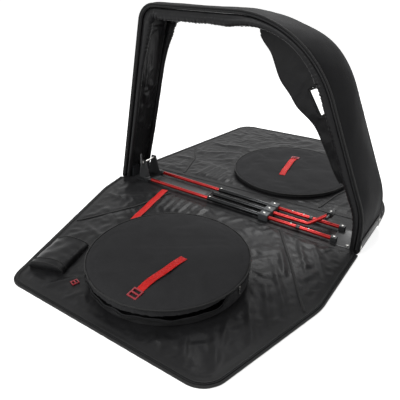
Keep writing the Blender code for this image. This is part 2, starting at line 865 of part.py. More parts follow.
def wheel_well(side, name):
    """The space cut out of the base and the hoop for a housing."""
    length, width, top = housing_size()
    overrun = HOUSING_WALL
    size = (length + FIT_GAP + overrun, width + 2 * FIT_GAP, top + FIT_GAP + overrun)
    start = -HALF_LENGTH - overrun
    centre = (start + size[0] / 2, wheel_across(side), size[2] / 2 - overrun)
    return box(name, size, centre)


def wheel_housing(side, name, cutters):
    length, width, top = housing_size()
    bottom = WHEEL_CLEARANCE
    centre = (-HALF_LENGTH + length / 2, wheel_across(side), (top + bottom) / 2)
    shell = box(name, (length, width, top - bottom), centre)
    hollow_size = (length, width - 2 * HOUSING_WALL, top - bottom)
    shift = Vector((-HOUSING_WALL, 0.0, -HOUSING_WALL))
    hollow = box(name + "_hollow", hollow_size, Vector(centre) + shift)
    cut(shell, [hollow], cutters)
    pin_length = width - HOUSING_WALL
    pin = rod(name + "_axle", AXLE_RADIUS, pin_length, wheel_place(side), (0.0, 1.0, 0.0))
    return join_solids(shell, [pin], cutters)


def transport_wheel(side, name):
    half_hub, half_tread = WHEEL_HUB_WIDTH / 2, WHEEL_WIDTH / 2
    shoulder = WHEEL_RADIUS * WHEEL_SHOULDER_SHARE
    flat = half_tread * WHEEL_TREAD_SHARE
    profile = [
        (WHEEL_BORE, half_hub),
        (WHEEL_HUB_RADIUS, half_hub),
        (WHEEL_HUB_RADIUS, half_tread),
        (shoulder, half_tread),
        (WHEEL_RADIUS, flat),
        (WHEEL_RADIUS, -flat),
        (shoulder, -half_tread),
        (WHEEL_HUB_RADIUS, -half_tread),
        (WHEEL_HUB_RADIUS, -half_hub),
        (WHEEL_BORE, -half_hub),
    ]
    part = turned(name, profile, closed=True, steps=WHEEL_STEPS)
    part.rotation_euler = (math.pi / 2, 0.0, 0.0)
    part.location = wheel_place(side)
    return part


# Side panels


def laid(side, points):
    """Turns distances along and across from a hinge into places on the floor."""
    return [(point[0], side * (HINGE_Y + point[1])) for point in points]


def panel_sheet(name, side, inset, bottom, thickness):
    loop = laid(side, [(p[0], p[1] + FIT_GAP) for p in panel_path(side, inset)])
    part = flat_solid(name, [loop], thickness)
    part.location.z = bottom + thickness / 2
    return part


def panel_piping(name, side):
    radius = PANEL_PIPING_RADIUS
    path = panel_path(side, radius)
    places = laid(side, [(p[0], max(p[1], radius)) for p in path])
    return tube(name, [(x, y, PANEL_THICKNESS / 2) for x, y in places], radius, PIPING_STEPS)


def panel_zip(name, side):
    outer_inset = 2 * PANEL_PIPING_RADIUS + FIT_GAP + ZIP_WIDTH
    outer = panel_path(side, outer_inset)
    inner = panel_path(side, outer_inset + ZIP_WIDTH)
    loop = laid(side, [(p[0], p[1] + ZIP_WIDTH) for p in strip_between(outer, inner)])
    part = flat_solid(name, [loop], ZIP_THICKNESS)
    part.location.z = PANEL_THICKNESS + FIT_GAP + ZIP_THICKNESS / 2
    return part


def pocket_centre(side):
    """Place of a wheel pocket's middle, before its panel is turned."""
    if side == FRONT:
        return POCKET_ALONG, -HINGE_Y - POCKET_ACROSS
    return BACK_POCKET_ALONG, HINGE_Y + BACK_POCKET_ACROSS


def pocket_wall(name, side, cutters):
    inside = POCKET_RADIUS - POCKET_WALL
    top = WALL_TOP - POCKET_SINK[side]
    profile = [
        (inside, top),
        (POCKET_RADIUS, top),
        (POCKET_RADIUS, WALL_BOTTOM),
        (inside, WALL_BOTTOM),
    ]
    part = turned(name, profile, closed=True)
    x, y = pocket_centre(side)
    part.location = (x, y, 0.0)
    if side == FRONT:
        reach = POCKET_RADIUS + POCKET_WALL
        depth = reach - POCKET_MOUTH_INSET
        height = POCKET_DEPTH
        low = WALL_BOTTOM + POCKET_MOUTH_WALL
        centre = (x, y - POCKET_MOUTH_INSET - depth / 2, low + height / 2)
        cut(part, [box(name + "_mouth", (2 * reach, depth, height), centre)], cutters)
    return part


def pocket_zip(name, side):
    """The tape and teeth round the part of the wall that is still zipped."""
    inside = POCKET_RADIUS + FIT_GAP
    outside = inside + ZIP_THICKNESS
    full_turn = ROUND_STEPS - 1
    if side == FRONT:
        spare = POCKET_MOUTH_INSET - POCKET_ZIP_HEIGHT
        extra = math.floor(ROUND_STEPS * math.asin(spare / POCKET_RADIUS) / math.tau)
        first, last = -extra, ROUND_STEPS // 2 + extra
    else:
        first, last = 0, full_turn
    turns = [math.tau * step / ROUND_STEPS for step in range(first, last + 1)]
    outer = [(outside * math.cos(t), -side * outside * math.sin(t)) for t in turns]
    inner = [(inside * math.cos(t), -side * inside * math.sin(t)) for t in turns]
    part = flat_solid(name, [strip_between(outer, inner)], POCKET_ZIP_HEIGHT)
    height = WALL_TOP - POCKET_SINK[side] - POCKET_ZIP_DROP - POCKET_ZIP_HEIGHT / 2
    part.location = (*pocket_centre(side), height)
    return part


def pocket_slider(name, side):
    """A pocket's slider: its pull hangs down, or lies along the wall of the empty pocket."""
    part = zip_slider(name)
    out = POCKET_RADIUS + FIT_GAP + ZIP_THICKNESS + FIT_GAP + SLIDER_THICKNESS / 2
    if side == FRONT:
        height = WALL_TOP - POCKET_ZIP_DROP - SLIDER_LENGTH / 2
        part.rotation_euler = (math.pi / 2, 0.0, math.pi / 2)
    else:
        height = WALL_TOP - POCKET_SINK[side] - POCKET_ZIP_DROP - SLIDER_WIDTH / 2
        part.rotation_euler = (0.0, math.pi / 2, 0.0)
    x, y = pocket_centre(side)
    part.location = (x + out, y, height)
    return part


def pocket_lid(name, side):
    profile = lid_surface() + [(LID_RADIUS, LID_BOTTOM), (0.0, LID_BOTTOM)]
    part = turned(name, profile, closed=False)
    part.location = (*pocket_centre(side), -POCKET_SINK[side])
    return part


def lid_piping(name, side):
    radius = LID_RADIUS + FIT_GAP + LID_PIPING_RADIUS / math.cos(math.pi / ROUND_STEPS)
    height = (LID_TOP + LID_BOTTOM) / 2 - POCKET_SINK[side]
    turns = circle(radius, pocket_centre(side), ROUND_STEPS)
    places = [(x, y, height) for x, y in turns]
    return tube(name, places, LID_PIPING_RADIUS, PIPING_STEPS, closed=True)


def ladder_buckle(name, length, width):
    """A flat frame with two slots and a bar between them."""
    slot = (length - 3 * BUCKLE_BAR) / 2
    clear = width - 2 * BUCKLE_BAR
    shift = (slot + BUCKLE_BAR) / 2
    loops = [
        rectangle(width, length),
        rectangle(clear, slot, (0.0, shift)),
        rectangle(clear, slot, (0.0, -shift)),
    ]
    return flat_solid(name, loops, BUCKLE_THICKNESS)


def lid_surface():
    """The domed top of a lid, in radius and height."""
    return [(LID_RADIUS * share, LID_TOP + LID_DOME * (1 - share * share)) for share in LID_RING_SHARES]


def lid_height(radius):
    """Height of the lid's surface at a radius, on the straight stretches between its rings."""
    surface = lid_surface()
    for (near, high), (far, low) in zip(surface, surface[1:]):
        if near <= radius <= far:
            return high + (low - high) * (radius - near) / (far - near)
    return LID_TOP


def strap_places(side):
    """Places along a hub strap and its buckle: along and across from the lid's middle."""
    start_x, start_y = STRAP_PLACE[side]
    places = []
    for step in range(STRAP_STEPS + 1):
        share = step / STRAP_STEPS
        places.append((start_x + HUB_STRAP_SKEW * share, start_y + HUB_STRAP_LENGTH * share))
    return places


def above_lid(side, x, across, reach):
    """Height just over a lid under a flat piece that reaches this far from its middle line."""
    near = max(math.hypot(x, across) - reach, 0.0)
    return lid_height(near) + FIT_GAP - POCKET_SINK[side]


def hub_strap(name, side):
    """Webbing over the middle of a lid, arched between its two sewn ends."""
    centre_x, centre_y = pocket_centre(side)
    points = []
    for step, (x, across) in enumerate(strap_places(side)):
        hump = HUB_STRAP_HUMP * math.sin(math.pi * step / STRAP_STEPS) ** 2
        height = above_lid(side, x, across, STRAP_WIDTH / 2) + hump
        points.append((centre_x + x, centre_y + side * across, height))
    return ribbon(name, points, (STRAP_WIDTH / 2, 0.0, 0.0), STRAP_THICKNESS)


def hub_buckle(name, side):
    part = ladder_buckle(name, BUCKLE_LENGTH, BUCKLE_WIDTH)
    x, across = strap_places(side)[-1]
    across += BUCKLE_LENGTH / 2 + FIT_GAP
    height = above_lid(side, x, across, math.hypot(BUCKLE_LENGTH, BUCKLE_WIDTH) / 2)
    centre_x, centre_y = pocket_centre(side)
    part.location = (centre_x + x, centre_y + side * across, height + BUCKLE_THICKNESS / 2)
    return part


def side_panel(side, group, cutters, materials):
    """A laid panel with its wheel pocket, carried by empties on its two hinges."""
    label = SIDE_NAMES[side]
    rim = 2 * (PANEL_PIPING_RADIUS + FIT_GAP)
    lining_bottom = PANEL_SHELL + FIT_GAP
    laid_parts = [
        (panel_sheet(label + "_panel_shell", side, rim, 0.0, PANEL_SHELL), "shell"),
        (panel_sheet(label + "_panel_lining", side, rim, lining_bottom, PANEL_LINING), "lining"),
        (panel_piping(label + "_panel_piping", side), "binding"),
        (panel_zip(label + "_panel_zip_track", side), "zip_tape"),
        (pocket_wall(label + "_pocket_wall", side, cutters), "pocket_cloth"),
        (pocket_zip(label + "_pocket_zip_track", side), "zip_tape"),
    ]
    lid_parts = [
        (pocket_lid(label + "_pocket_lid", side), "pocket_cloth"),
        (lid_piping(label + "_lid_piping", side), "binding"),
        (hub_strap(label + "_hub_strap", side), "webbing"),
        (hub_buckle(label + "_hub_buckle", side), "buckle_red"),
    ]
    if side == FRONT:
        laid_parts += [
            (tie_strap("tie_strap"), "webbing"),
            (tool_pouch("tool_pouch"), "lining"),
            (pouch_buckle("pouch_buckle"), "buckle_red"),
        ]
    for part, key in laid_parts + lid_parts:
        finish(part, materials[key], group)
    slider = finish(pocket_slider(label + "_pocket_slider", side), materials["zip_metal"], group)
    x, y = pocket_centre(side)
    turn = PANEL_TURN[side]
    panel_hinge = (0.0, side * HINGE_Y, HINGE_Z)
    lid_edge = LID_RADIUS + FIT_GAP + 2 * LID_PIPING_RADIUS
    lid_hinge = (x, y - side * lid_edge, LID_BOTTOM - POCKET_SINK[side])
    carry([part for part, _ in laid_parts], label + "_panel_hinge", panel_hinge, group, turn)
    carry([part for part, _ in lid_parts], label + "_lid_hinge", lid_hinge, group, turn)
    carry([slider], label + "_pocket_axis", (x, y, WALL_TOP), group, turn)


def tie_strap(name):
    """Wide webbing laid over the front panel from the stand to the wheel pocket."""
    points = []
    for step in range(STRAP_STEPS + 1):
        share = step / STRAP_STEPS
        bow = TIE_STRAP_BOW * math.sin(math.tau * share)
        x = TIE_STRAP_START_ALONG + (TIE_STRAP_END_ALONG - TIE_STRAP_START_ALONG) * share + bow
        y = FRONT * (HINGE_Y + STRAP_THICKNESS + (TIE_STRAP_END_ACROSS - STRAP_THICKNESS) * share)
        points.append((x, y, PANEL_THICKNESS + FIT_GAP))
    return ribbon(name, points, (STRAP_WIDTH / 2, 0.0, 0.0), STRAP_THICKNESS)


def arch(half_width, height):
    """Half of a squared ellipse that stands on its two ends."""
    turns = [math.pi * step / ARCH_STEPS for step in range(ARCH_STEPS + 1)]
    return [(half_width * math.cos(t), height * math.sin(t) ** POUCH_SQUARENESS) for t in turns]


def tool_pouch(name):
    """A padded tunnel pouch along the rear edge of the front panel, open at both ends."""
    outer = arch(POUCH_WIDTH / 2, POUCH_HEIGHT)
    inner = arch(POUCH_WIDTH / 2 - POUCH_WALL, POUCH_HEIGHT - POUCH_WALL)
    part = flat_solid(name, [strip_between(outer, inner)], POUCH_LENGTH)
    part.rotation_euler = (math.pi / 2, 0.0, POUCH_TURN)
    part.location = (POUCH_ALONG, FRONT * (HINGE_Y + POUCH_ACROSS), PANEL_THICKNESS + FIT_GAP)
    return part


def pouch_buckle(name):
    part = ladder_buckle(name, POUCH_BUCKLE_LENGTH, POUCH_BUCKLE_WIDTH)
    height = PANEL_THICKNESS + FIT_GAP + BUCKLE_THICKNESS / 2
    part.location = (POUCH_BUCKLE_ALONG, FRONT * (HINGE_Y + POUCH_BUCKLE_ACROSS), height)
    return part


# Telescoping stand


def sliding_tube(name, start, end, y, collars, cutters):
    """A round tube along X with thicker collars where sockets grip it."""
    middle = (start + end) / 2
    part = rod(name, TUBE_RADIUS, end - start, (middle, y, STAND_Z))
    rings = []
    for index, collar in enumerate(collars):
        place = (collar + COLLAR_LENGTH / 2, y, STAND_Z)
        rings.append(rod(f"{name}_collar_{index}", COLLAR_RADIUS, COLLAR_LENGTH, place))
    return join_solids(part, rings, cutters)


def screw_head(name, height, centre):
    return rod(name, SCREW_RADIUS, height, centre, (0.0, 0.0, 1.0), SCREW_SIDES)


def rail_bracket(name, cutters):
    """A block with a bore for each rail and a screw head over the outer two."""
    reach = RAIL_RADIUS + BRACKET_RIM
    low = MAT_TOP + FIT_GAP
    high = STAND_Z + reach
    left, right = STAND_FRONT_Y - reach, STAND_REAR_Y + reach
    outline = [(left, low), (right, low), (right, high), (left, high)]
    rows = (STAND_FRONT_Y, STAND_MIDDLE_Y, STAND_REAR_Y)
    bores = [circle(RAIL_RADIUS + FIT_GAP, (y, STAND_Z), TUBE_SIDES) for y in rows]
    middle = BRACKET_START + BRACKET_LENGTH / 2
    block = as_mesh(endwise(flat_solid(name, [outline, *bores], BRACKET_LENGTH), middle))
    heads = []
    for index, y in enumerate((STAND_FRONT_Y, STAND_REAR_Y)):
        place = (middle, y, high + BRACKET_SCREW_HEIGHT / 2 - FIT_GAP)
        heads.append(screw_head(f"{name}_screw_{index}", BRACKET_SCREW_HEIGHT, place))
    return join_solids(block, heads, cutters)


def fork_arm(name, cutters):
    """The bent arm that holds the fork: it turns in the middle rail."""
    start = RAIL_END - TUBE_OVERLAP
    axis = Vector((HALF_LENGTH - ARM_BEND_INSET, STAND_MIDDLE_Y, STAND_Z))
    tip = axis + Vector((ARM_RUN, ARM_SIDEWAYS, ARM_RISE))
    toward = (tip - axis).normalized()
    turn = Vector((1.0, 0.0, 0.0)).angle(toward)
    tangent = ARM_BEND_RADIUS * math.tan(turn / 2)
    points = [Vector((start, STAND_MIDDLE_Y, STAND_Z))]
    first = axis - Vector((tangent, 0.0, 0.0))
    last = axis + toward * tangent
    for step in range(BEND_STEPS + 1):
        share = step / BEND_STEPS
        points.append(first.lerp(axis, share).lerp(axis.lerp(last, share), share))
    points.append(tip)
    arm = as_mesh(tube(name, points, ARM_RADIUS))
    axle = rod(name + "_axle", FORK_AXLE_RADIUS, FORK_AXLE_LENGTH, tip, (0.0, 1.0, 0.0))
    clamp = rod(name + "_clamp", FORK_CLAMP_RADIUS, FORK_CLAMP_LENGTH, tip, (0.0, 1.0, 0.0))
    return join_solids(arm, [axle, clamp], cutters)


def tube_lugs(name, start):
    """A block at each outer tube's end, standing on the plate under it."""
    low = MAT_TOP + FIT_GAP
    height = STAND_Z + RAIL_RADIUS - low
    lugs = []
    for index, y in enumerate((STAND_FRONT_Y, STAND_REAR_Y)):
        size = (LUG_LENGTH, 2 * RAIL_RADIUS, height)
        lugs.append(box(f"{name}_lug_{index}", size, (start + LUG_LENGTH / 2, y, low + height / 2)))
    return lugs


def foot_plate(name, cutters):
    """The plate under the front ends of the stand, with a lug for each tube."""
    low = MAT_TOP + FIT_GAP
    left, right = STAND_FRONT_Y - FOOT_RIM - RAIL_RADIUS, STAND_REAR_Y + FOOT_RIM + RAIL_RADIUS
    plate = box(
        name,
        (FOOT_LENGTH, right - left, FOOT_PLATE),
        (FOOT_START + FOOT_LENGTH / 2, (left + right) / 2, low + FOOT_PLATE / 2),
    )
    studs = []
    for index, y in enumerate((STAND_FRONT_Y, STAND_REAR_Y)):
        place = (FOOT_START + FOOT_LENGTH - STUD_INSET, y, low + STUD_HEIGHT / 2)
        studs.append(screw_head(f"{name}_stud_{index}", STUD_HEIGHT, place))
    return join_solids(plate, tube_lugs(name, FOOT_START) + studs, cutters)


def axle_stand_span():
    """Length along X of the axle stand, its middle across, and the height of its skewer."""
    length = STAND_PLATE_START - FIT_GAP - STAND_START
    middle_y = (STAND_FRONT_Y + STAND_REAR_Y) / 2
    return length, middle_y, MAT_TOP + FIT_GAP + CHEEK_HEIGHT - CHEEK_TOP / 2


def axle_stand(name, cutters):
    """Two cheeks on a base plate, with the skewer that holds the rear end of the frame."""
    low = MAT_TOP + FIT_GAP
    length, middle_y, skewer_z = axle_stand_span()
    width = STAND_REAR_Y - STAND_FRONT_Y + 2 * RAIL_RADIUS
    middle_x = STAND_START + length / 2
    base = box(
        name,
        (length, width, STAND_PLATE_THICKNESS),
        (middle_x, middle_y, low + STAND_PLATE_THICKNESS / 2),
    )
    outline = [
        (STAND_START, low),
        (STAND_START + length, low),
        (middle_x + CHEEK_TOP / 2, low + CHEEK_HEIGHT),
        (middle_x - CHEEK_TOP / 2, low + CHEEK_HEIGHT),
    ]
    pieces = tube_lugs(name, STAND_START + length - LUG_LENGTH)
    for index, side in enumerate((FRONT, BACK)):
        cheek = flat_solid(f"{name}_cheek_{index}", [outline], CHEEK_THICKNESS)
        pieces.append(as_mesh(upright(cheek, middle_y + side * CHEEK_SPACING / 2)))
    skewer_length = CHEEK_SPACING + 2 * SKEWER_OVERHANG
    place = (middle_x, middle_y, skewer_z)
    pieces.append(rod(name + "_skewer", SKEWER_RADIUS, skewer_length, place, (0.0, 1.0, 0.0)))
    return join_solids(base, pieces, cutters)


def skewer_place():
    length, middle_y, height = axle_stand_span()
    y = middle_y - CHEEK_SPACING / 2 - SKEWER_OVERHANG - FIT_GAP - LEVER_THICKNESS / 2
    return Vector((STAND_START + length / 2, y, height))


def axle_lever(name):
    """The quick-release lever on the front end of the skewer, closed and pointing up."""
    place = skewer_place()
    half = LEVER_WIDTH / 2
    outline = [
        (-half, -half),
        (half, -half),
        (half * LEVER_NARROW_SHARE, LEVER_LENGTH * LEVER_TIP_SHARE),
        (0.0, LEVER_LENGTH),
        (-half * LEVER_NARROW_SHARE, LEVER_LENGTH * LEVER_TIP_SHARE),
    ]
    part = flat_solid(name, [outline], LEVER_THICKNESS)
    part.rotation_euler = (math.pi / 2, 0.0, 0.0)
    part.location = place
    return part


def bike_stand(group, cutters, materials):
    rails = {
        "rail_front": STAND_FRONT_Y,
        "rail_middle": STAND_MIDDLE_Y,
        "rail_rear": STAND_REAR_Y,
    }
    for name, y in rails.items():
        rail = pipe(name, RAIL_RADIUS, RAIL_BORE, RAIL_START, RAIL_END, y, STAND_Z)
        finish(rail, materials["rail"], group)
    rear_end = RAIL_START + TUBE_OVERLAP
    for name, y in (("tube_front_left", STAND_FRONT_Y), ("tube_rear_left", STAND_REAR_Y)):
        left = sliding_tube(name, STAND_PLATE_START, rear_end, y, [STAND_PLATE_START], cutters)
        finish(left, materials["red_tube"], group)
    right_start = RAIL_END - TUBE_OVERLAP
    moving = []
    places = (
        ("tube_front_right", STAND_FRONT_Y, HALF_LENGTH - FRONT_SLEEVE_INSET),
        ("tube_rear_right", STAND_REAR_Y, HALF_LENGTH - REAR_SLEEVE_INSET),
    )
    for name, y, collar in places:
        right = sliding_tube(name, right_start, FOOT_START - FIT_GAP, y, [collar], cutters)
        moving.append(finish(right, materials["red_tube"], group))
    foot = finish(foot_plate("front_foot_plate", cutters), materials["frame_black"], group)
    moving.append(foot)
    carry(moving, "stand_slide", (FOOT_START, STAND_MIDDLE_Y, STAND_Z), group)
    finish(rail_bracket("rail_bracket", cutters), materials["bracket"], group)
    arm = fork_arm("fork_arm", cutters)
    finish(arm, materials["red_tube"], group)
    carry([arm], "fork_arm_axis", (RAIL_END, STAND_MIDDLE_Y, STAND_Z), group)
    plate_length = STAND_PLATE_END - STAND_PLATE_START
    plate_left = STAND_FRONT_Y + TUBE_RADIUS + STAND_PLATE_MARGIN
    plate_right = STAND_REAR_Y - TUBE_RADIUS - STAND_PLATE_MARGIN
    plate = box(
        "stand_plate",
        (plate_length, plate_right - plate_left, STAND_PLATE_THICKNESS),
        (
            (STAND_PLATE_START + STAND_PLATE_END) / 2,
            (plate_left + plate_right) / 2,
            MAT_TOP + FIT_GAP + STAND_PLATE_THICKNESS / 2,
        ),
    )
    finish(plate, materials["plate"], group)
    finish(axle_stand("rear_axle_stand", cutters), materials["frame_black"], group)
    lever = finish(axle_lever("rear_axle_lever"), materials["zip_metal"], group)
    carry([lever], "rear_axle_lever_pin", skewer_place(), group)


# The whole bag


def bag_materials():
    return {
        "shell": new_material("shell_nylon", (0.030, 0.030, 0.032), 0.62),
        "lining": new_material("lining_nylon", (0.022, 0.022, 0.024), 0.55),
        "pocket_cloth": new_material("pocket_nylon", (0.020, 0.020, 0.022), 0.60),
        "binding": new_material("binding_tape", (0.010, 0.010, 0.011), 0.55),
        "zip_tape": new_material("zip_tape", (0.012, 0.012, 0.013), 0.50),
        "zip_metal": new_material("zip_metal", (0.55, 0.55, 0.56), 0.30, 1.0),
        "webbing": new_material("red_webbing", (0.62, 0.012, 0.016), 0.60),
        "buckle_red": new_material("red_buckle", (0.42, 0.012, 0.022), 0.35),
        "buckle_black": new_material("black_buckle", (0.015, 0.015, 0.016), 0.35),
        "pad": new_material("grey_pad", (0.060, 0.060, 0.064), 0.70),
        "base": new_material("base_tarpaulin", (0.040, 0.040, 0.042), 0.45),
        "board": new_material("base_board", (0.080, 0.080, 0.085), 0.60),
        "rail": new_material("black_rail", (0.014, 0.014, 0.015), 0.30, 0.6),
        "red_tube": new_material("red_tube", (0.60, 0.010, 0.014), 0.28, 0.3),
        "bracket": new_material("grey_bracket", (0.100, 0.100, 0.105), 0.45, 0.2),
        "frame_black": new_material("black_steel", (0.012, 0.012, 0.013), 0.40, 0.5),
        "plate": new_material("dark_plate", (0.045, 0.045, 0.048), 0.45, 0.4),
        "tyre": new_material("wheel_rubber", (0.020, 0.020, 0.021), 0.70),
    }


def build_hoop(group, cutters, materials):
    wells = [wheel_well(side, f"wheel_well_{SIDE_NAMES[side]}") for side in (FRONT, BACK)]
    board_depth = BAG_DEPTH - LINING_WALL
    mat_depth = BAG_DEPTH + 2 * (PANEL_STANDOFF - FIT_GAP)
    mat_inset = TUB_CORNER_RADIUS + FIT_GAP
    board = base_layer("base_board", BOARD_BOTTOM, BOARD_THICKNESS, board_depth, BOARD_INSET)
    mat = base_layer("base_mat", MAT_BOTTOM, MAT_THICKNESS, mat_depth, mat_inset)
    cut_parts = [
        (gusset("gusset"), "shell"),
        (gusset_lining("gusset_lining"), "lining"),
        (base_tub("base_tub"), "base"),
        (board, "board"),
        (mat, "lining"),
    ]
    for part, key in cut_parts:
        cut(narrowed(part), wells, cutters)
        finish(part, materials[key], group)
    for side in (FRONT, BACK):
        label = SIDE_NAMES[side]
        roll, piping, zip_track = hoop_edge(side, label)
        finish(roll, materials["lining"], group)
        finish(piping, materials["binding"], group)
        finish(zip_track, materials["zip_tape"], group)
        slider = finish(hoop_slider(side, label), materials["zip_metal"], group)
        place = (HALF_LENGTH, side * HALF_DEPTH, HOOP_SLIDER_HEIGHT)
        carry([slider], label + "_zip_slider_start", place, group)
        housing = wheel_housing(side, label + "_wheel_housing", cutters)
        finish(housing, materials["buckle_black"], group)
        wheel = finish(transport_wheel(side, label + "_wheel"), materials["tyre"], group)
        carry([wheel], label + "_wheel_axis", wheel_place(side), group)
    finish(handlebar_web("handlebar_web"), materials["lining"], group)
    finish(fork_end_pad("fork_end_pad"), materials["pad"], group)
    anchor(group, materials)
    finish(grab_handle("rear_grab_handle"), materials["binding"], group)


def main():
    clear_scene()
    group = new_collection("bike_travel_bag")
    cutters = new_collection("cutters")
    materials = bag_materials()
    build_hoop(group, cutters, materials)
    for side in (FRONT, BACK):
        side_panel(side, group, cutters, materials)
    bike_stand(group, cutters, materials)
    bpy.context.view_layer.update()


main()
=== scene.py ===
"""Soft bicycle travel bag, opened on the floor: its cloth, webbing, zips and stand over the solids."""

import math
from functools import partial

import bmesh
import bpy
import numpy as np
from mathutils import Euler, Matrix, Vector
from mathutils.bvhtree import BVHTree


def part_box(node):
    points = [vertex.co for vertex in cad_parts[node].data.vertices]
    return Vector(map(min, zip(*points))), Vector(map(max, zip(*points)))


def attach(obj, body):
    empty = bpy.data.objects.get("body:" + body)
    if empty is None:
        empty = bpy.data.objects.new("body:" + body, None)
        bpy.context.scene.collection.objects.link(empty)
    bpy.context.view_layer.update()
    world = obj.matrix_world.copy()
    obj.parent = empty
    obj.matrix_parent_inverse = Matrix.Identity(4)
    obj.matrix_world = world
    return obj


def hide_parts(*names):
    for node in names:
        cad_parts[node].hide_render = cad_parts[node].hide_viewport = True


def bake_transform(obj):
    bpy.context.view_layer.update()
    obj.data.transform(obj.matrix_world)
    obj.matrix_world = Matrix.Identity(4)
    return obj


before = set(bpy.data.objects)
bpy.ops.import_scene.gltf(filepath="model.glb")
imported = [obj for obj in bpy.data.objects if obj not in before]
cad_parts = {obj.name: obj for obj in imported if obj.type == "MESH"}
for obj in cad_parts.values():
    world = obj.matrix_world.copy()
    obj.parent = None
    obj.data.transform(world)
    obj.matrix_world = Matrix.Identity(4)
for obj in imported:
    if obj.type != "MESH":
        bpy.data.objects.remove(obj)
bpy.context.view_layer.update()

bl_info = {
    "name": "Soft Bicycle Travel Bag", "version": (1, 0, 0), "blender": (4, 5, 0),
    "location": "View3D > Sidebar > Travel Bag",
    "description": "Builds an opened soft travel bag with its stand, piece by piece", "category": "Object"}

UP = np.array((0.0, 0.0, 1.0))
FRONT, BACK = -1, 1
NAMES = {FRONT: "front", BACK: "back"}

# Layers of the bag, from the record's solids, in metres. An inset is measured inwards from an outer edge.
SKIN_OUTER, SKIN_INNER = 0.0043, 0.0203
LINING_INSET = 0.0216
ROLL_INSET, ROLL_FROM_EDGE = 0.0349, 0.0168
BINDING_INSET, ZIP_INSET, TEETH_INSET = 0.0060, 0.0158, 0.0140
PANEL_BINDING_INSET, PANEL_ZIP_INSET, PANEL_TEETH_INSET = 0.0046, 0.0186, 0.0160
MAT_TOP = 0.0125
PANEL_TOP = 0.0125
PANEL_SHELL_TOP = 0.0098
TUB_TOP = 0.075
# Where the hoop's skin starts over the floor, and how wide the stiff band along its edges is
FOOT, EDGE_BAND = 0.026, 0.030
# The hinge line from the bag's middle, the panels' gap from it, and the strip of cloth over it
HINGE, GAP = 0.1515, 0.0003
STRIP_LENGTH, STRIP_START, STRIP_END = 1.344, -0.014, 0.016
# Pockets and lids: heights, radii, middles on the panels, and how much lower the empty one lies
WALL_LOW, WALL_HIGH, LID_LOW = 0.0128, 0.0848, 0.0851
LID_RADIUS, POCKET_RADIUS = 0.329, 0.330
POCKETS = {FRONT: (0.090, 0.553), BACK: (0.120, 0.346)}
SINK = {FRONT: 0.0, BACK: 0.054}
# Where a hub strap starts, from its lid's middle, and how far it runs along and across
STRAPS = {FRONT: (0.078, 0.0), BACK: (-0.010, -0.125)}
STRAP_RUN = (-0.020, 0.245)
# The stand: its bars' height and radii, the arm's place, and the lugs at both its ends
STAND_Z = 0.0285
RAIL_RADIUS, TUBE_RADIUS, SOCKET_RADIUS = 0.0120, 0.0095, 0.0112
ARM_Y = -0.062
FOOT_YS, LUG_TOP = (-0.118, -0.005), 0.0405
# The tool pouch's middle on the floor and its turn, the handle's height
POUCH_PLACE, POUCH_TURN = (-0.352, -0.9015), math.radians(17)
HANDLE_HEIGHT = 0.520

SMOOTH_ANGLE = math.radians(38)
WAVES = 7
TOOTH_PITCH, TOOTH = 0.0042, (0.0021, 0.0034, 0.0014)


def linear(code):
    """An sRGB hex value as the linear colour that the shaders and colour properties take."""
    parts = [int(code[i : i + 2], 16) / 255 for i in (1, 3, 5)]
    return tuple(c / 12.92 if c <= 0.04045 else ((c + 0.055) / 1.055) ** 2.4 for c in parts)


def length_of(label, about, default):
    return bpy.props.FloatProperty(name=label, description=about, default=default, unit="LENGTH", min=0.0)


def colour_of(label, about, code):
    return bpy.props.FloatVectorProperty(
        name=label, description=about, subtype="COLOR", size=3, default=linear(code), min=0.0, max=1.0)


class BagSizes(bpy.types.PropertyGroup):
    """The bag's own sizes, in metres"""

    hoop_length: length_of("Hoop length", "Length of the base along the bag", 1.400)
    hoop_height: length_of("Hoop height", "Height of the roof over the floor", 0.966)
    hoop_depth: length_of("Hoop depth", "Width of the hoop across the bag", 0.290)
    setback: length_of("Setback", "How much nearer the hoop's back edge is at the rear end", 0.092)
    rear_lean: length_of("Rear lean", "How far the rear end leans in at the roof", 0.216)
    rear_radius: length_of("Rear corner", "Radius of the rear roof corner", 0.100)
    sweep_setback: length_of("Sweep setback", "Where the roof turns down to the fork end", 0.334)
    sweep_radius: length_of("Sweep radius", "Radius of the roof's sweep", 0.510)
    toe_height: length_of("Toe height", "Height where the fork end stands upright", 0.184)
    toe_radius: length_of("Toe radius", "Radius of the turn into the upright", 0.350)
    skin_crown: length_of("Skin crown", "How far the hoop's skin swells between its edges", 0.0095)
    roll_radius: length_of("Edge roll radius", "Radius of the padded roll", 0.0118)
    strap_width: length_of("Strap width", "Width of the red webbing", 0.034)
    cloth_rise: length_of("Cloth rise", "Highest fold in the laid lining", 0.0095)
    mesh_step: length_of("Mesh step", "Distance between points on the cloth", 0.009)
    stitch_pitch: length_of("Stitch pitch", "Distance from one stitch to the next", 0.0052)
    roof_sag: length_of("Roof sag", "How far the empty roof sinks towards its back edge", 0.030)
    sweep_bulge: length_of("Sweep bulge", "How far the skin stands out over the roof's sweep", 0.020)


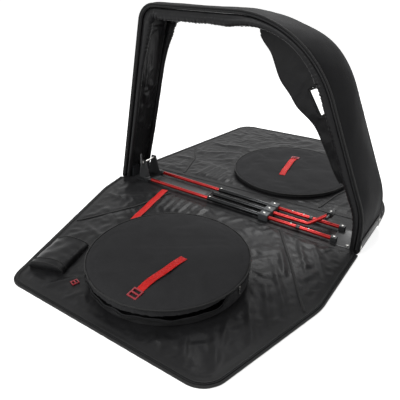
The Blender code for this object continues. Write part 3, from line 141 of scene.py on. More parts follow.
class BagColours(bpy.types.PropertyGroup):
    """The bag's colours"""

    shell: colour_of("Shell", "Coated nylon of the hoop and panels", "#262627")
    lining: colour_of("Lining", "Lining nylon inside the bag", "#1f1f20")
    pocket: colour_of("Pocket", "Nylon of the wheel pockets", "#343435")
    binding: colour_of("Binding", "Tape round the edges", "#111111")
    webbing: colour_of("Webbing", "Red nylon webbing", "#d01410")
    crimson: colour_of("Crimson plastic", "Ladder buckles", "#971a28")
    black_plastic: colour_of("Black plastic", "Black buckles and zip teeth", "#17181a")
    grey_pad: colour_of("Grey pad", "Padding at the fork end", "#434544")
    tarpaulin: colour_of("Tarpaulin", "Coated base shell", "#1f1f1f")
    black_tube: colour_of("Black tube", "Anodised outer rails", "#222324")
    red_tube: colour_of("Red tube", "Anodised sliding tubes", "#a81614")
    bracket: colour_of("Bracket", "Moulded block of the rails", "#3c3e40")
    nickel: colour_of("Nickel", "Zip sliders and rivets", "#c9c8c4")
    thread: colour_of("Thread", "Stitches in the black cloth", "#3d3e40")
    board: colour_of("Board", "Fibre board in the base", "#6b5a45")


def sizes():
    return bpy.context.scene.travel_bag_sizes


def colours():
    return bpy.context.scene.travel_bag_colours


# Materials


def add_node(tree, kind, inputs=None, **settings):
    """Adds a node with its settings. An input takes a value, a socket or a node's first output."""
    made = tree.nodes.new("ShaderNode" + kind)
    for key, value in settings.items():
        setattr(made, key, value)
    for key, value in (inputs or {}).items():
        if isinstance(value, bpy.types.Node):
            value = next(socket for socket in value.outputs if socket.enabled)
        if isinstance(value, bpy.types.NodeSocket):
            tree.links.new(value, made.inputs[key])
        else:
            made.inputs[key].default_value = value
    return made


def shade(colour, share):
    """A colour made darker or lighter by a share."""
    return tuple(min(c * share, 1.0) for c in colour[:3]) + (1.0,)


def between(add, share, colour, low, high):
    """A colour that changes from one shade of itself to another."""
    return add("Mix", {0: share, 6: shade(colour, low), 7: shade(colour, high)}, data_type="RGBA")


def new_material(name):
    """A material with its tree and shader, or the one of that name that is already made."""
    old = bpy.data.materials.get(name)
    if old:
        return old, None, None
    made = bpy.data.materials.new(name)
    made.use_nodes = True
    tree = made.node_tree
    shader = next(n for n in tree.nodes if n.type == "BSDF_PRINCIPLED")
    return made, tree, shader


def wire(tree, shader, colour, rough, bump, **plain):
    """Links the three patterned sockets and sets the plain ones on the shader itself."""
    for key, node in (("Base Color", colour), ("Roughness", rough), ("Normal", bump)):
        tree.links.new(next(socket for socket in node.outputs if socket.enabled), shader.inputs[key])
    for key, value in plain.items():
        shader.inputs[key.replace("_", " ").title()].default_value = value


def cloth(name, colour, thread, rough, sheen=0.1, spread=0.16, weave_depth=0.35, gloss=0.25):
    """Woven nylon: threads over and under, a slow change of tone and pale wear on its raised folds."""
    made, tree, shader = new_material(name)
    if not tree:
        return made
    add = partial(add_node, tree)
    split = add("SeparateXYZ", {0: add("UVMap", uv_map="weave")})
    waves = []
    for k in (0, 1):
        phase = add("Math", {0: split.outputs[k], 1: math.tau / thread}, operation="MULTIPLY")
        waves.append(add("Math", {0: phase}, operation="SINE"))
    over = add("Math", {0: waves[0], 1: waves[1]}, operation="MULTIPLY")
    over = add("Math", {0: over, 1: 0.5, 2: 0.5}, operation="MULTIPLY_ADD")
    spot = add("TexCoord").outputs["Object"]
    slow = add("TexNoise", {"Vector": spot, "Scale": 9.0, "Detail": 5.0, "Roughness": 0.6})
    fine = add("TexNoise", {"Vector": spot, "Scale": 420.0, "Detail": 2.0})
    slack = add("TexNoise", {"Vector": spot, "Scale": 55.0, "Detail": 3.0})
    tone = add("MapRange", {0: slow, 1: 0.3, 2: 0.7, 3: 0.0, 4: 1.0})
    base = between(add, tone, colour, 1 - spread, 1 + spread)
    lit = add("Math", {0: over, 1: 0.24, 2: 0.86}, operation="MULTIPLY_ADD")
    fleck = add("Math", {0: fine, 1: 0.30, 2: -0.15}, operation="MULTIPLY_ADD")
    gain = add("Math", {0: lit, 1: fleck}, operation="ADD")
    woven = add("VectorMath", {0: base, "Scale": gain}, operation="SCALE")
    raised = add("NewGeometry").outputs["Pointiness"]
    worn = add("MapRange", {0: raised, 1: 0.52, 2: 0.60, 3: 0.0, 4: 0.30})
    rubbed = add("Mix", {0: worn, 6: woven, 7: shade(colour, 2.1)}, data_type="RGBA")
    matt = add("MapRange", {0: slow, 1: 0.3, 2: 0.7, 3: rough - 0.06, 4: rough + 0.06})
    bump = add("Bump", {"Height": over, "Strength": weave_depth, "Distance": thread * 0.18})
    bump = add("Bump", {"Height": slack, "Strength": 0.25, "Distance": 0.002, "Normal": bump})
    wire(tree, shader, rubbed, matt, bump, sheen_weight=sheen, sheen_roughness=0.45)
    shader.inputs["Specular IOR Level"].default_value = gloss
    return made


def ribbed(name, colour, rib, rough, sheen=0.05):
    """Webbing, tape or thread: close ribs across it and a slight change of tone."""
    made, tree, shader = new_material(name)
    if not tree:
        return made
    add = partial(add_node, tree)
    split = add("SeparateXYZ", {0: add("UVMap", uv_map="weave")})
    along = add("Math", {0: split.outputs[0], 1: math.tau / rib}, operation="MULTIPLY")
    across = add("Math", {0: split.outputs[1], 1: math.tau / (rib * 1.6)}, operation="MULTIPLY")
    twist = add("Math", {0: across}, operation="SINE")
    shifted = add("Math", {0: twist, 1: 0.9, 2: along}, operation="MULTIPLY_ADD")
    ridge = add("Math", {0: shifted}, operation="SINE")
    ridge = add("Math", {0: ridge, 1: 0.5, 2: 0.5}, operation="MULTIPLY_ADD")
    slow = add("TexNoise", {"Vector": add("TexCoord").outputs["Object"], "Scale": 30.0, "Detail": 4.0})
    base = between(add, slow, colour, 0.78, 1.22)
    gain = add("Math", {0: ridge, 1: 0.35, 2: 0.78}, operation="MULTIPLY_ADD")
    tone = add("VectorMath", {0: base, "Scale": gain}, operation="SCALE")
    bump = add("Bump", {"Height": ridge, "Strength": 0.5, "Distance": rib * 0.25})
    matt = add("Math", {0: ridge, 1: -0.12, 2: rough + 0.06}, operation="MULTIPLY_ADD")
    wire(tree, shader, tone, matt, bump, sheen_weight=sheen, sheen_roughness=0.4)
    shader.inputs["Specular IOR Level"].default_value = 0.3
    return made


def hard(name, colour, rough, metallic=0.0, grain=900.0, depth=0.0001, spread=0.12, wear=0.5, coat=0.0):
    """A hard finish: fine grain from moulding or blasting, small stains and brighter rubbed edges."""
    made, tree, shader = new_material(name)
    if not tree:
        return made
    add = partial(add_node, tree)
    spot = add("TexCoord").outputs["Object"]
    slow = add("TexNoise", {"Vector": spot, "Scale": 26.0, "Detail": 6.0, "Roughness": 0.65})
    fine = add("TexNoise", {"Vector": spot, "Scale": grain, "Detail": 3.0})
    base = between(add, slow, colour, 1 - spread, 1 + spread)
    raised = add("NewGeometry").outputs["Pointiness"]
    edge = add("MapRange", {0: raised, 1: 0.53, 2: 0.62, 3: 0.0, 4: wear})
    broken = add("Math", {0: edge, 1: slow}, operation="MULTIPLY")
    tone = add("Mix", {0: broken, 6: base, 7: shade(colour, 1.9)}, data_type="RGBA")
    matt = add("MapRange", {0: slow, 1: 0.3, 2: 0.7, 3: rough * 0.8, 4: rough * 1.25})
    bump = add("Bump", {"Height": fine, "Strength": 0.3, "Distance": depth})
    wire(tree, shader, tone, matt, bump, metallic=metallic, coat_weight=coat, coat_roughness=0.25)
    return made


def coat_of(maker, name, colour, *plain, **more):
    """A function that gives one material in its own colour, made when a piece first asks for it."""
    return lambda: maker(name, getattr(colours(), colour), *plain, **more)


# 600 denier coated nylon: matt, with a fine square grain. Real threads are 0.4 mm apart, drawn at 2 mm.
shell_nylon = coat_of(cloth, "coated_shell_nylon", "shell", 0.0020, 0.60, sheen=0.01, gloss=0.02)

# Thin taffeta lining: smoother than the shell, its folds catch a soft light. Threads drawn at 1.6 mm.
lining_nylon = coat_of(cloth, "taffeta_lining_nylon", "lining",
                       0.0016, 0.36, sheen=0.01, weave_depth=0.25, gloss=0.14)

# The pockets' nylon is the shell's cloth without its coating, so it is the most matt of the three.
pocket_nylon = coat_of(cloth, "uncoated_pocket_nylon", "pocket",
                       0.0018, 0.64, sheen=0.02, spread=0.10, gloss=0.02)

# Grey nylon over foam at the fork end, with a coarser grain.
pad_nylon = coat_of(cloth, "padded_grey_nylon", "grey_pad", 0.0024, 0.6, sheen=0.08, weave_depth=0.5)

# Coated tarpaulin: its cloth shows only faintly through a smooth skin.
base_tarpaulin = coat_of(cloth, "coated_tarpaulin", "tarpaulin",
                         0.0028, 0.42, sheen=0.01, weave_depth=0.3, gloss=0.2)

# Folded grosgrain tape: close cross ribs, drawn at 2.4 mm.
binding_tape = coat_of(ribbed, "grosgrain_binding_tape", "binding", 0.0024, 0.6)

# Woven zip tape: finer ribs than the binding.
zip_tape = coat_of(ribbed, "woven_zip_tape", "binding", 0.0018, 0.66)

# Nylon coil: smooth black teeth with a small gloss.
zip_coil = coat_of(hard, "nylon_zip_coil", "black_plastic", 0.35, grain=500.0)

# Nylon webbing: ribs 1 mm apart in the real strap, drawn at 2.6 mm.
webbing = coat_of(ribbed, "red_nylon_webbing", "webbing", 0.0026, 0.55, sheen=0.04)

# The handle's webbing: the same ribs in black.
black_webbing = coat_of(ribbed, "black_nylon_webbing", "binding", 0.0026, 0.55)

# Bonded nylon thread: a shade paler than the cloth, so that the stitches read as a dotted line.
sewing_thread = coat_of(hard, "bonded_nylon_thread", "thread", 0.5, grain=1500.0)

# The same thread in dark red on the webbing.
dark_red_thread = coat_of(hard, "dark_red_thread", "crimson", 0.5, grain=1500.0)

# Moulded acetal: slightly waxy, with soft highlights and rounded edges.
crimson_acetal = coat_of(hard, "moulded_crimson_acetal", "crimson", 0.34, grain=650.0, coat=0.15)

# Moulded acetal in black.
black_acetal = coat_of(hard, "moulded_black_acetal", "black_plastic", 0.36, grain=650.0, coat=0.15)

# Nickel-plated zinc: bright, with a slightly uneven cast surface.
nickel_zinc = coat_of(hard, "nickel_plated_zinc", "nickel", 0.26, metallic=1.0, grain=300.0, wear=0.2)

# Zinc-plated steel screws and rivets: pale and satin.
bright_steel = coat_of(hard, "zinc_plated_steel", "nickel", 0.36, metallic=0.85, grain=700.0, wear=0.2)

# Anodised aluminium tube: satin, with paler edges where it is rubbed.
black_anodised = coat_of(hard, "black_anodised_aluminium", "black_tube",
                         0.24, metallic=0.7, grain=800.0, wear=0.6)

# Red anodised aluminium: the colour sits in a clear layer over metal, so highlights stay reddish.
red_anodised = coat_of(hard, "red_anodised_aluminium", "red_tube",
                       0.24, metallic=0.6, grain=800.0, coat=0.2)

# Glass-filled nylon block: grey-black, finely pitted, dull.
glass_filled_nylon = coat_of(hard, "glass_filled_nylon", "bracket", 0.55, grain=420.0, depth=0.0003)

# Powder-coated steel: a fine orange-peel skin.
black_steel = coat_of(hard, "powder_coated_steel", "black_tube", 0.45, grain=260.0, depth=0.0003, wear=0.7)

# Moulded polyurethane tread, dusty and matt.
wheel_rubber = coat_of(hard, "moulded_wheel_rubber", "black_plastic",
                       0.7, grain=300.0, depth=0.0004, spread=0.3)

# Pressed fibre board under the mat: rough and brown.
fibre_board = coat_of(hard, "pressed_fibre_board", "board", 0.8, grain=200.0)


# Lines and surfaces


def rounded(corners, radii, step):
    """Points at even steps along a chain of corners, each turned on its own radius."""
    corners = [np.array(c, float) for c in corners]
    line = [corners[0]]
    for i, radius in enumerate(radii, start=1):
        into = corners[i - 1] - corners[i]
        out = corners[i + 1] - corners[i]
        into, out = into / np.linalg.norm(into), out / np.linalg.norm(out)
        half = math.acos(float(np.clip(into @ out, -1, 1))) / 2
        reach = radius / math.tan(half)
        middle = (into + out) / np.linalg.norm(into + out)
        centre = corners[i] + middle * radius / math.sin(half)
        start, end = corners[i] + into * reach - centre, corners[i] + out * reach - centre
        first = math.atan2(start[1], start[0])
        turn = math.remainder(math.atan2(end[1], end[0]) - first, math.tau)
        count = max(3, math.ceil(abs(turn) * radius / (step / 3)))
        for k in range(count + 1):
            angle = first + turn * k / count
            line.append(centre + radius * np.array((math.cos(angle), math.sin(angle))))
    line.append(corners[-1])
    return evenly(np.array(line), step)


def smoothed(line, times):
    """The same line with its corners softened, its two ends kept."""
    line = line.copy()
    for _ in range(times):
        line[1:-1] = (line[:-2] + 2 * line[1:-1] + line[2:]) / 4
    return line


def travelled(line):
    """The distance from the start to each point of a line."""
    return np.concatenate(([0.0], np.cumsum(np.linalg.norm(np.diff(line, axis=0), axis=1))))


def evenly(line, step=None, count=None):
    """The same line with its points at even distances."""
    reached = travelled(line)
    count = count or max(2, round(reached[-1] / step) + 1)
    wanted = np.linspace(0.0, reached[-1], count)
    return np.stack([np.interp(wanted, reached, line[:, k]) for k in range(line.shape[1])], axis=1)


def inward(line):
    """The unit normal on the right of a 2D line at each point."""
    along = np.gradient(line, axis=0)
    along /= np.linalg.norm(along, axis=1)[:, None]
    return np.stack((along[:, 1], -along[:, 0]), axis=1)


def hoop_line(step):
    """The hoop's outer edge from its rear foot over the roof to its fork foot, and the way inwards."""
    s = sizes()
    half, top = s.hoop_length / 2, s.hoop_height
    corners = [
        (-half, 0.0), (-half + s.rear_lean, top), (half - s.sweep_setback, top), (half, s.toe_height),
        (half, 0.0)]
    line = rounded(corners, (s.rear_radius, s.sweep_radius, s.toe_radius), step)
    return line, inward(line)


def sagged(points):
    """Lets the empty roof sink towards its back edge, less and less over the sweep."""
    s = sizes()
    points = np.array(points, float)
    back = np.clip(points[..., 1] / s.hoop_depth + 0.5, 0.0, 1.0)
    over = rise(points[..., 2], 0.70, 0.93) * (1 - rise(points[..., 0], 0.20, 0.46))
    points[..., 2] -= s.roof_sag * back * over
    return points


def narrowed(points):
    """Squeezes points of the hoop across its depth: its back edge comes nearer towards the rear end."""
    s = sizes()
    points = sagged(points)
    share = (points[..., 1] + s.hoop_depth / 2 - EDGE_BAND) / (s.hoop_depth - 2 * EDGE_BAND)
    nearer = s.setback * (s.hoop_length / 2 - points[..., 0]) / s.hoop_length
    points[..., 1] -= nearer * np.clip(share, 0.0, 1.0)
    return points


def laid(side, x, across, z):
    """Places on a laid panel: along its hinge, across from it, and up. The back hinge runs askew."""
    s = sizes()
    half = s.hoop_length / 2
    turn = math.atan(s.setback / s.hoop_length) if side == BACK else 0.0
    x, across, z = np.broadcast_arrays(x, across, z)
    px = half + (x - half) * math.cos(turn) - across * math.sin(turn)
    py = side * HINGE + (x - half) * math.sin(turn) + side * across * math.cos(turn)
    return np.stack((px, py, z), axis=-1)


def panel_line(side, step):
    """A panel's outer edge from its rear hinge end round to its fork hinge end, across from the hinge."""
    if side == BACK:
        return hoop_line(step)
    half = sizes().hoop_length / 2
    corners = [(-half, 0.0), (-0.675, 0.160), (-0.402, 0.972), (0.557, 0.972), (half, 0.420), (half, 0.0)]
    line = rounded(corners, (0.300, 0.085, 0.105, 0.300), step)
    return line, inward(line)


def rise(value, start, full):
    share = np.clip((value - start) / (full - start), 0.0, 1.0)
    return share * share * (3 - 2 * share)


def swell(distance, width):
    """A bump that is 1 at its middle and fades out over its width."""
    return np.exp(-((distance / width) ** 2))


def uneven(x, y, size, seed):
    """A slow, seeded change from -1 to 1 over a surface, about one size from crest to crest."""
    dice = np.random.RandomState(seed)
    total = 0.0
    for _ in range(WAVES):
        turn, phase = dice.uniform(0, math.tau, 2)
        pace = math.tau / (size * dice.uniform(0.7, 1.5))
        total = total + np.sin(pace * (x * math.cos(turn) + y * math.sin(turn)) + phase)
    return total / (0.72 * WAVES**0.5 * 2)


def segment_distance(x, y, start, end):
    """How far points are from a segment, and how far along it, from 0 to 1, each is nearest."""
    start, end = np.array(start, float), np.array(end, float)
    way = end - start
    near = np.clip(((x - start[0]) * way[0] + (y - start[1]) * way[1]) / (way @ way), 0.0, 1.0)
    return np.hypot(x - start[0] - near * way[0], y - start[1] - near * way[1]), near


def line_distance(x, y, points):
    """How far points are from a line of segments."""
    best = segment_distance(x, y, points[0], points[1])[0]
    for start, end in zip(points[1:], points[2:]):
        best = np.minimum(best, segment_distance(x, y, start, end)[0])
    return best


def stroke(x, y, start, end, width):
    """A fold along a line: 1 on it, fading to its sides and towards its ends."""
    away, near = segment_distance(x, y, start, end)
    return swell(away, width) * (0.25 + 0.75 * np.sin(math.pi * near) ** 0.6)


def grid_faces(rows, columns, close_rows=False, close_columns=False):
    """Faces of a grid of points, whose rows or columns may run round."""
    faces = []
    for r in range(rows if close_rows else rows - 1):
        here, below = r * columns, (r + 1) % rows * columns
        for c in range(columns if close_columns else columns - 1):
            right = (c + 1) % columns
            faces.append((here + c, here + right, below + right, below + c))
    return faces


def tube_faces(rows, columns):
    """Faces of a grid whose columns run round, closed at both its ends."""
    ends = [tuple(range(columns)), tuple((rows - 1) * columns + k for k in range(columns))]
    return grid_faces(rows, columns, close_columns=True) + ends


def weave_map(along, across):
    """A grid's weave map in metres, from its places along and across."""
    return np.stack(np.meshgrid(along, across, indexing="ij"), axis=2)


def upright(place, y):
    """Points of the hoop's outline, set upright at a place across the bag."""
    return np.stack((place[:, 0], np.full(len(place), y), place[:, 1]), axis=1)


def new_object(name, data):
    """An object of the scene that shows some data."""
    made = bpy.data.objects.new(name, data)
    bpy.context.scene.collection.objects.link(made)
    return made


def mesh_piece(name, points, faces, coat, uvs=None, outward=True, smooth=True):
    """A finished mesh, with its weave map in metres and its faces turned outwards."""
    points = np.asarray(points, float).reshape(-1, 3)
    mesh = bpy.data.meshes.new(name)
    mesh.from_pydata(points.tolist(), [], [tuple(int(i) for i in f) for f in faces])
    if uvs is not None:
        uvs = np.asarray(uvs, float).reshape(-1, 2)
        layer = mesh.uv_layers.new(name="weave")
        corners = np.empty(len(mesh.loops), int)
        mesh.loops.foreach_get("vertex_index", corners)
        layer.data.foreach_set("uv", uvs[corners].ravel())
    if outward:
        shape = bmesh.new()
        shape.from_mesh(mesh)
        bmesh.ops.recalc_face_normals(shape, faces=shape.faces)
        shape.to_mesh(mesh)
        shape.free()
    if smooth:
        mesh.polygons.foreach_set("use_smooth", [True] * len(mesh.polygons))
    mesh.materials.append(coat)
    return new_object(name, mesh)


def sheet_piece(name, grid, uvs, coat, up=None):
    """An open grid of cloth. Up is a way that its faces look, where that matters."""
    rows, columns = grid.shape[:2]
    faces = grid_faces(rows, columns)
    if up is not None:
        row, column = rows // 2, columns // 2
        here = grid[row, column]
        if np.dot(np.cross(grid[row, column + 1] - here, grid[row + 1, column] - here), up) < 0:
            faces = [tuple(reversed(face)) for face in faces]
    return mesh_piece(name, grid, faces, coat, uvs, outward=False)


def tube_piece(name, path, section, coat, ways=None, closed=False, sizes_along=None):
    """A closed skin along a path. The section's points (side, up) turn with the path."""
    path = np.asarray(path, float)
    count, ring = len(path), len(section)
    if closed:
        along = np.roll(path, -1, axis=0) - np.roll(path, 1, axis=0)
    else:
        along = np.gradient(path, axis=0)
    along /= np.linalg.norm(along, axis=1)[:, None]
    if ways is None:
        up = np.tile(UP, (count, 1))
        up[np.abs(along[:, 2]) > 0.95] = (1.0, 0.0, 0.0)
    else:
        up = np.broadcast_to(np.asarray(ways, float), (count, 3)).copy()
    side = np.cross(along, up)
    side /= np.linalg.norm(side, axis=1)[:, None]
    up = np.cross(side, along)
    scale = np.ones(1) if sizes_along is None else np.asarray(sizes_along, float)
    scale = np.broadcast_to(scale if scale.ndim == 2 else scale[:, None], (count, ring))
    section = np.asarray(section, float)
    aside = side[:, None, :] * (section[None, :, 0] * scale)[:, :, None]
    upwards = up[:, None, :] * (section[None, :, 1] * scale)[:, :, None]
    uvs = weave_map(travelled(path), travelled(section))
    faces = grid_faces(count, ring, True, True) if closed else tube_faces(count, ring)
    return mesh_piece(name, path[:, None, :] + aside + upwards, faces, coat, uvs)


def round_section(radius, sides, other_radius=None):
    """A round or oval section."""
    turns = np.linspace(0, math.tau, sides, endpoint=False)
    return np.stack((radius * np.cos(turns), (other_radius or radius) * np.sin(turns)), axis=1)


def flat_section(width, thickness, round_share=0.45):
    """A strap's outline with soft edges."""
    half, thin = width / 2, thickness / 2
    soft = thin * round_share * 2
    lower = [(-half + soft, -thin), (-half * 0.4, -thin), (half * 0.4, -thin), (half - soft, -thin)]
    upper = [(x, thin) for x, _ in lower[::-1]]
    return np.array([*lower, (half, 0.0), *upper, (-half, 0.0)])


def repaint(piece, coat):
    """Gives a rigid piece or a carried-over solid its one material."""
    piece.data.materials.clear()
    piece.data.materials.append(coat)


def modifier(piece, kind, name, **settings):
    made = piece.modifiers.new(name, kind)
    for key, value in settings.items():
        setattr(made, key, value)
    return made


def soften(piece):
    """One smoothing of a soft piece."""
    modifier(piece, "SUBSURF", "Smoothing", levels=1, render_levels=1)


def thicken(piece, thickness, offset=-1.0):
    """Gives a sheet its thickness and one smoothing."""
    modifier(piece, "SOLIDIFY", "Cloth thickness", thickness=thickness, offset=offset, use_rim=True)
    soften(piece)


def points_of(piece):
    flat = np.empty(len(piece.data.vertices) * 3)
    piece.data.vertices.foreach_get("co", flat)
    return flat.reshape(-1, 3)


def settle(piece, held, growth, frames, cap, bending, outward, back_cap):
    """Lets slack cloth buckle between its seams. Held is the share by which each point is sewn down.
    A point moves cap at most along its outward way, back_cap against it and a little more aside."""
    start = points_of(piece)
    group = piece.vertex_groups.new(name="sewn")
    for index, share in enumerate(np.asarray(held).ravel()):
        if share > 0:
            group.add([index], float(min(share, 1.0)), "REPLACE")
    slack = piece.modifiers.new("Slack", "CLOTH")
    settings = slack.settings
    settings.quality = 6
    settings.mass = 0.15
    settings.tension_stiffness = 12
    settings.compression_stiffness = 12
    settings.shear_stiffness = 4
    settings.bending_stiffness = bending
    settings.air_damping = 2.0
    settings.shrink_min = -growth
    settings.vertex_group_mass = "sewn"
    settings.effector_weights.gravity = 0.0
    scene = bpy.context.scene
    slack.point_cache.frame_start, slack.point_cache.frame_end = 1, frames
    for number in range(1, frames + 1):
        scene.frame_set(number)
    seen = piece.evaluated_get(bpy.context.evaluated_depsgraph_get())
    moved = points_of(seen) - start
    piece.modifiers.remove(slack)
    piece.vertex_groups.remove(group)
    scene.frame_set(1)
    moved[~np.isfinite(moved).all(axis=1)] = 0.0
    out = (moved * outward).sum(axis=1)
    kept = np.where(out > 0, cap * np.tanh(out / cap), np.maximum(out, -back_cap))
    moved += outward * (kept - out)[:, None]
    far = np.linalg.norm(moved, axis=1)
    limit = cap * 1.4
    share = np.where(far > limit, limit / np.maximum(far, 1e-9), 1.0)
    piece.data.vertices.foreach_set("co", (start + moved * share[:, None]).ravel())
    piece.data.update()


def hoop_span(step, foot):
    """The hoop's edge above a height, the way inwards, and how far along it each point is."""
    line, way = hoop_line(step)
    every = np.hstack((line, way, travelled(line)[:, None]))
    above = np.nonzero(line[:, 1] > foot)[0]
    first, last = above[0], above[-1]

    def end(inside, outside):
        share = (foot - every[outside, 1]) / (every[inside, 1] - every[outside, 1])
        return every[outside] + share * (every[inside] - every[outside])

    span = np.vstack((end(first, first - 1), every[first : last + 1], end(last, last + 1)))
    return span[:, :2], span[:, 2:4], span[:, 4]


def corner_shares(reached, line):
    """Where the lining is gathered: the two roof corners, by how sharply the hoop turns."""
    along = np.gradient(line, axis=0)
    heading = np.unwrap(np.arctan2(along[:, 1], along[:, 0]))
    turn = np.abs(np.gradient(heading, reached))
    turn = np.convolve(np.pad(turn, 6, mode="edge"), np.ones(13) / 13, mode="valid")
    return np.clip(turn / 8.0, 0.0, 1.0)


def hoop_surface(line, way, foot, insets, acrosses):
    """Grid over the hoop: for each point along it, one point for each inset and place across."""
    insets = np.broadcast_to(insets, (len(line), len(acrosses)))
    place = line[:, None, :] + way[:, None, :] * insets[:, :, None]
    grid = np.empty((len(line), len(acrosses), 3))
    grid[:, :, 0] = place[:, :, 0]
    grid[:, :, 1] = np.asarray(acrosses)[None, :]
    grid[:, :, 2] = np.maximum(place[:, :, 1], foot)
    return narrowed(grid)


class HoopSkin(bpy.types.Operator):
    """Padded outer skin of the hoop, crowned between its two bound edges"""

    bl_idname = "travel_bag.hoop_skin"
    bl_label = "Hoop skin"

    def execute(self, context):
        s = sizes()
        half = s.hoop_depth / 2
        soft = 0.011
        line, way, reached = hoop_span(0.010, FOOT)
        across = half * np.sin(np.linspace(-1, 1, 37) * math.pi / 2)
        crown = s.skin_crown * rise(line[:, 1], 0.09, 0.30)
        crown += s.sweep_bulge * swell(line[:, 1] - 0.66, 0.24) * rise(line[:, 0], 0.20, 0.42)
        crown = crown[:, None] * (1 - np.abs(across / half) ** 2.4)
        edge = np.clip((np.abs(across) - (half - soft)) / soft, 0, 1)
        drop = 0.0080 * (1 - np.sqrt(1 - edge**2))[None, :]
        run, wide = np.meshgrid(reached, across, indexing="ij")
        loose = rise(line[:, 1], 0.09, 0.20)[:, None] * (1 - edge)[None, :]
        dents = uneven(run, wide * 1.3, 0.26, 11) * 0.0016 + uneven(run, wide, 0.09, 12) * 0.0006
        pucker = swell(half - 0.014 - np.abs(wide), 0.012) * uneven(run, wide * 0.2, 0.020, 13) * 0.0007
        outer = SKIN_OUTER - crown + drop - (dents + pucker) * loose
        inner = np.full((len(line), 2), SKIN_INNER)
        insets = np.hstack((outer, inner))
        acrosses = np.concatenate((across, (half, -half)))
        grid = hoop_surface(line, way, FOOT, insets, acrosses)
        faces = tube_faces(*grid.shape[:2])
        skin = mesh_piece("hoop_skin", grid, faces, shell_nylon(), weave_map(reached, acrosses))
        stand_in(skin, "bag", "shell_nylon", "gusset")
        return {"FINISHED"}


class HoopLining(bpy.types.Operator):
    """Slack lining inside the hoop, gathered in the two roof corners"""

    bl_idname = "travel_bag.hoop_lining"
    bl_label = "Hoop lining"

    def execute(self, context):
        s = sizes()
        half = s.hoop_depth / 2 - 0.003
        across = np.linspace(-half, half, 35)
        foot = MAT_TOP + 0.001
        line, way, reached = hoop_span(s.mesh_step, foot)
        run, wide = np.meshgrid(reached, across, indexing="ij")
        free = rise(half - np.abs(wide), 0.018, 0.045) * rise(line[:, 1], 0.02, 0.10)[:, None]
        gathered = corner_shares(reached, line)[:, None]
        folds = 0.0022 * np.abs(uneven(run * 0.22, wide, 0.055, 21)) * (1 - gathered)
        wavy = run + 0.010 * uneven(run, wide, 0.12, 23)
        folds = folds + 0.0042 * gathered * (0.5 + 0.5 * np.sin(wavy * math.tau / 0.034)) ** 1.5
        insets = LINING_INSET + free * (folds + 0.0010)
        grid = hoop_surface(line, way, foot, insets, across)
        lining = sheet_piece("hoop_lining", grid, weave_map(reached, across), lining_nylon())
        face_towards(lining, (-0.05, 0.0, 0.45))
        inwards = np.repeat(upright(way, 0.0)[:, None], len(across), axis=1)
        held = 1 - rise(free, 0.0, 0.5)
        settle(lining, held, 0.035, 22, 0.0075, 0.15, inwards.reshape(-1, 3), 0.0)
        thicken(lining, 0.0010)
        stand_in(lining, "bag", "lining_nylon", "gusset_lining")
        return {"FINISHED"}


def face_towards(piece, point, away=False):
    """Turns an open sheet's faces to look at a point, or away from it."""
    point = Vector(point)
    score = sum(face.normal.dot(point - face.center) * face.area for face in piece.data.polygons)
    if (score < 0) != away:
        piece.data.flip_normals()


class EdgeRolls(bpy.types.Operator):
    """Padded rolls along the hoop's inner edges, gathered where the hoop turns"""

    bl_idname = "travel_bag.edge_rolls"
    bl_label = "Edge rolls"

    def execute(self, context):
        s = sizes()
        foot = MAT_TOP + 0.0035
        line, way, reached = hoop_span(0.004, foot)
        place = line + way * ROLL_INSET
        gathered = corner_shares(reached, line) ** 0.6
        sides = 18
        turns = np.linspace(0, math.tau, sides, endpoint=False)
        for side in (FRONT, BACK):
            scale = self.ridges(side, reached, turns, gathered, place)
            path = upright(place, side * (s.hoop_depth / 2 - ROLL_FROM_EDGE))
            path[:, 2] = np.maximum(path[:, 2], foot)
            path = narrowed(path)
            roll = tube_piece(
                f"{NAMES[side]}_padded_roll", path, round_section(s.roll_radius, sides), lining_nylon(),
                ways=(0.0, 1.0, 0.0), sizes_along=scale)
            stand_in(roll, "bag", "lining_nylon", f"{NAMES[side]}_edge_roll")
        return {"FINISHED"}

    def ridges(self, side, reached, turns, gathered, place):
        """How thick a roll is all over: its gathers, and slack padding where a closed lid leaves it room."""
        radius = sizes().roll_radius
        run, turn = np.meshgrid(reached, turns, indexing="ij")
        warp = run + 0.006 * np.sin(turn + run * 9) + 0.010 * uneven(run, turn * 0.02, 0.11, 31 + side)
        ridges = np.sin(warp * math.tau / 0.0165) + 0.6 * np.sin(warp * math.tau / 0.0262 + 1.7 * side)
        strength = 0.022 + 0.085 * gathered[:, None]
        patchy = 0.6 + 0.4 * uneven(run, turn * 0.05, 0.20, 33 + side)
        scale = 1 + strength * patchy * ridges * 0.6 + 0.03 * uneven(run, turn * 0.06, 0.07, 35 + side)
        scale = np.clip(scale, 0.82, 1.06)
        puffs = 0.10 * uneven(run, 0.0, 0.16, 37 + side)
        puffs = puffs + (0.04 + 0.16 * gathered[:, None]) * patchy * ridges
        room = np.hypot(*(place - POCKETS[side]).T) - POCKET_RADIUS - radius - 0.016
        hang = np.minimum(self.hang(place)[:, None] * (1 + puffs), np.clip(room, 0, 1)[:, None])
        scale = scale * (1 + hang / radius * np.clip(-np.cos(turn), 0.0, 1.0) ** 1.3)
        return scale * (1 - 0.12 * np.clip(side * np.sin(turn), 0.0, 1.0))

    def hang(self, place):
        """How far a roll's slack padding hangs below it: most under the roof."""
        roof = rise(place[:, 1], 0.62, 0.90) * (1 - rise(place[:, 0], 0.20, 0.40))
        sweep = rise(place[:, 0], 0.20, 0.45)
        foot = rise(place[:, 1], 0.05, 0.30)
        return roof * 0.028 + sweep * (0.003 + 0.008 * foot) + 0.004 * (1 - roof) * foot


def bound_edge(name, path, section, body, *nodes, **more):
    """An edge bound with tape along a path."""
    piece = tube_piece(name, path, section, binding_tape(), **more)
    stand_in(piece, body, "binding_tape", *nodes)


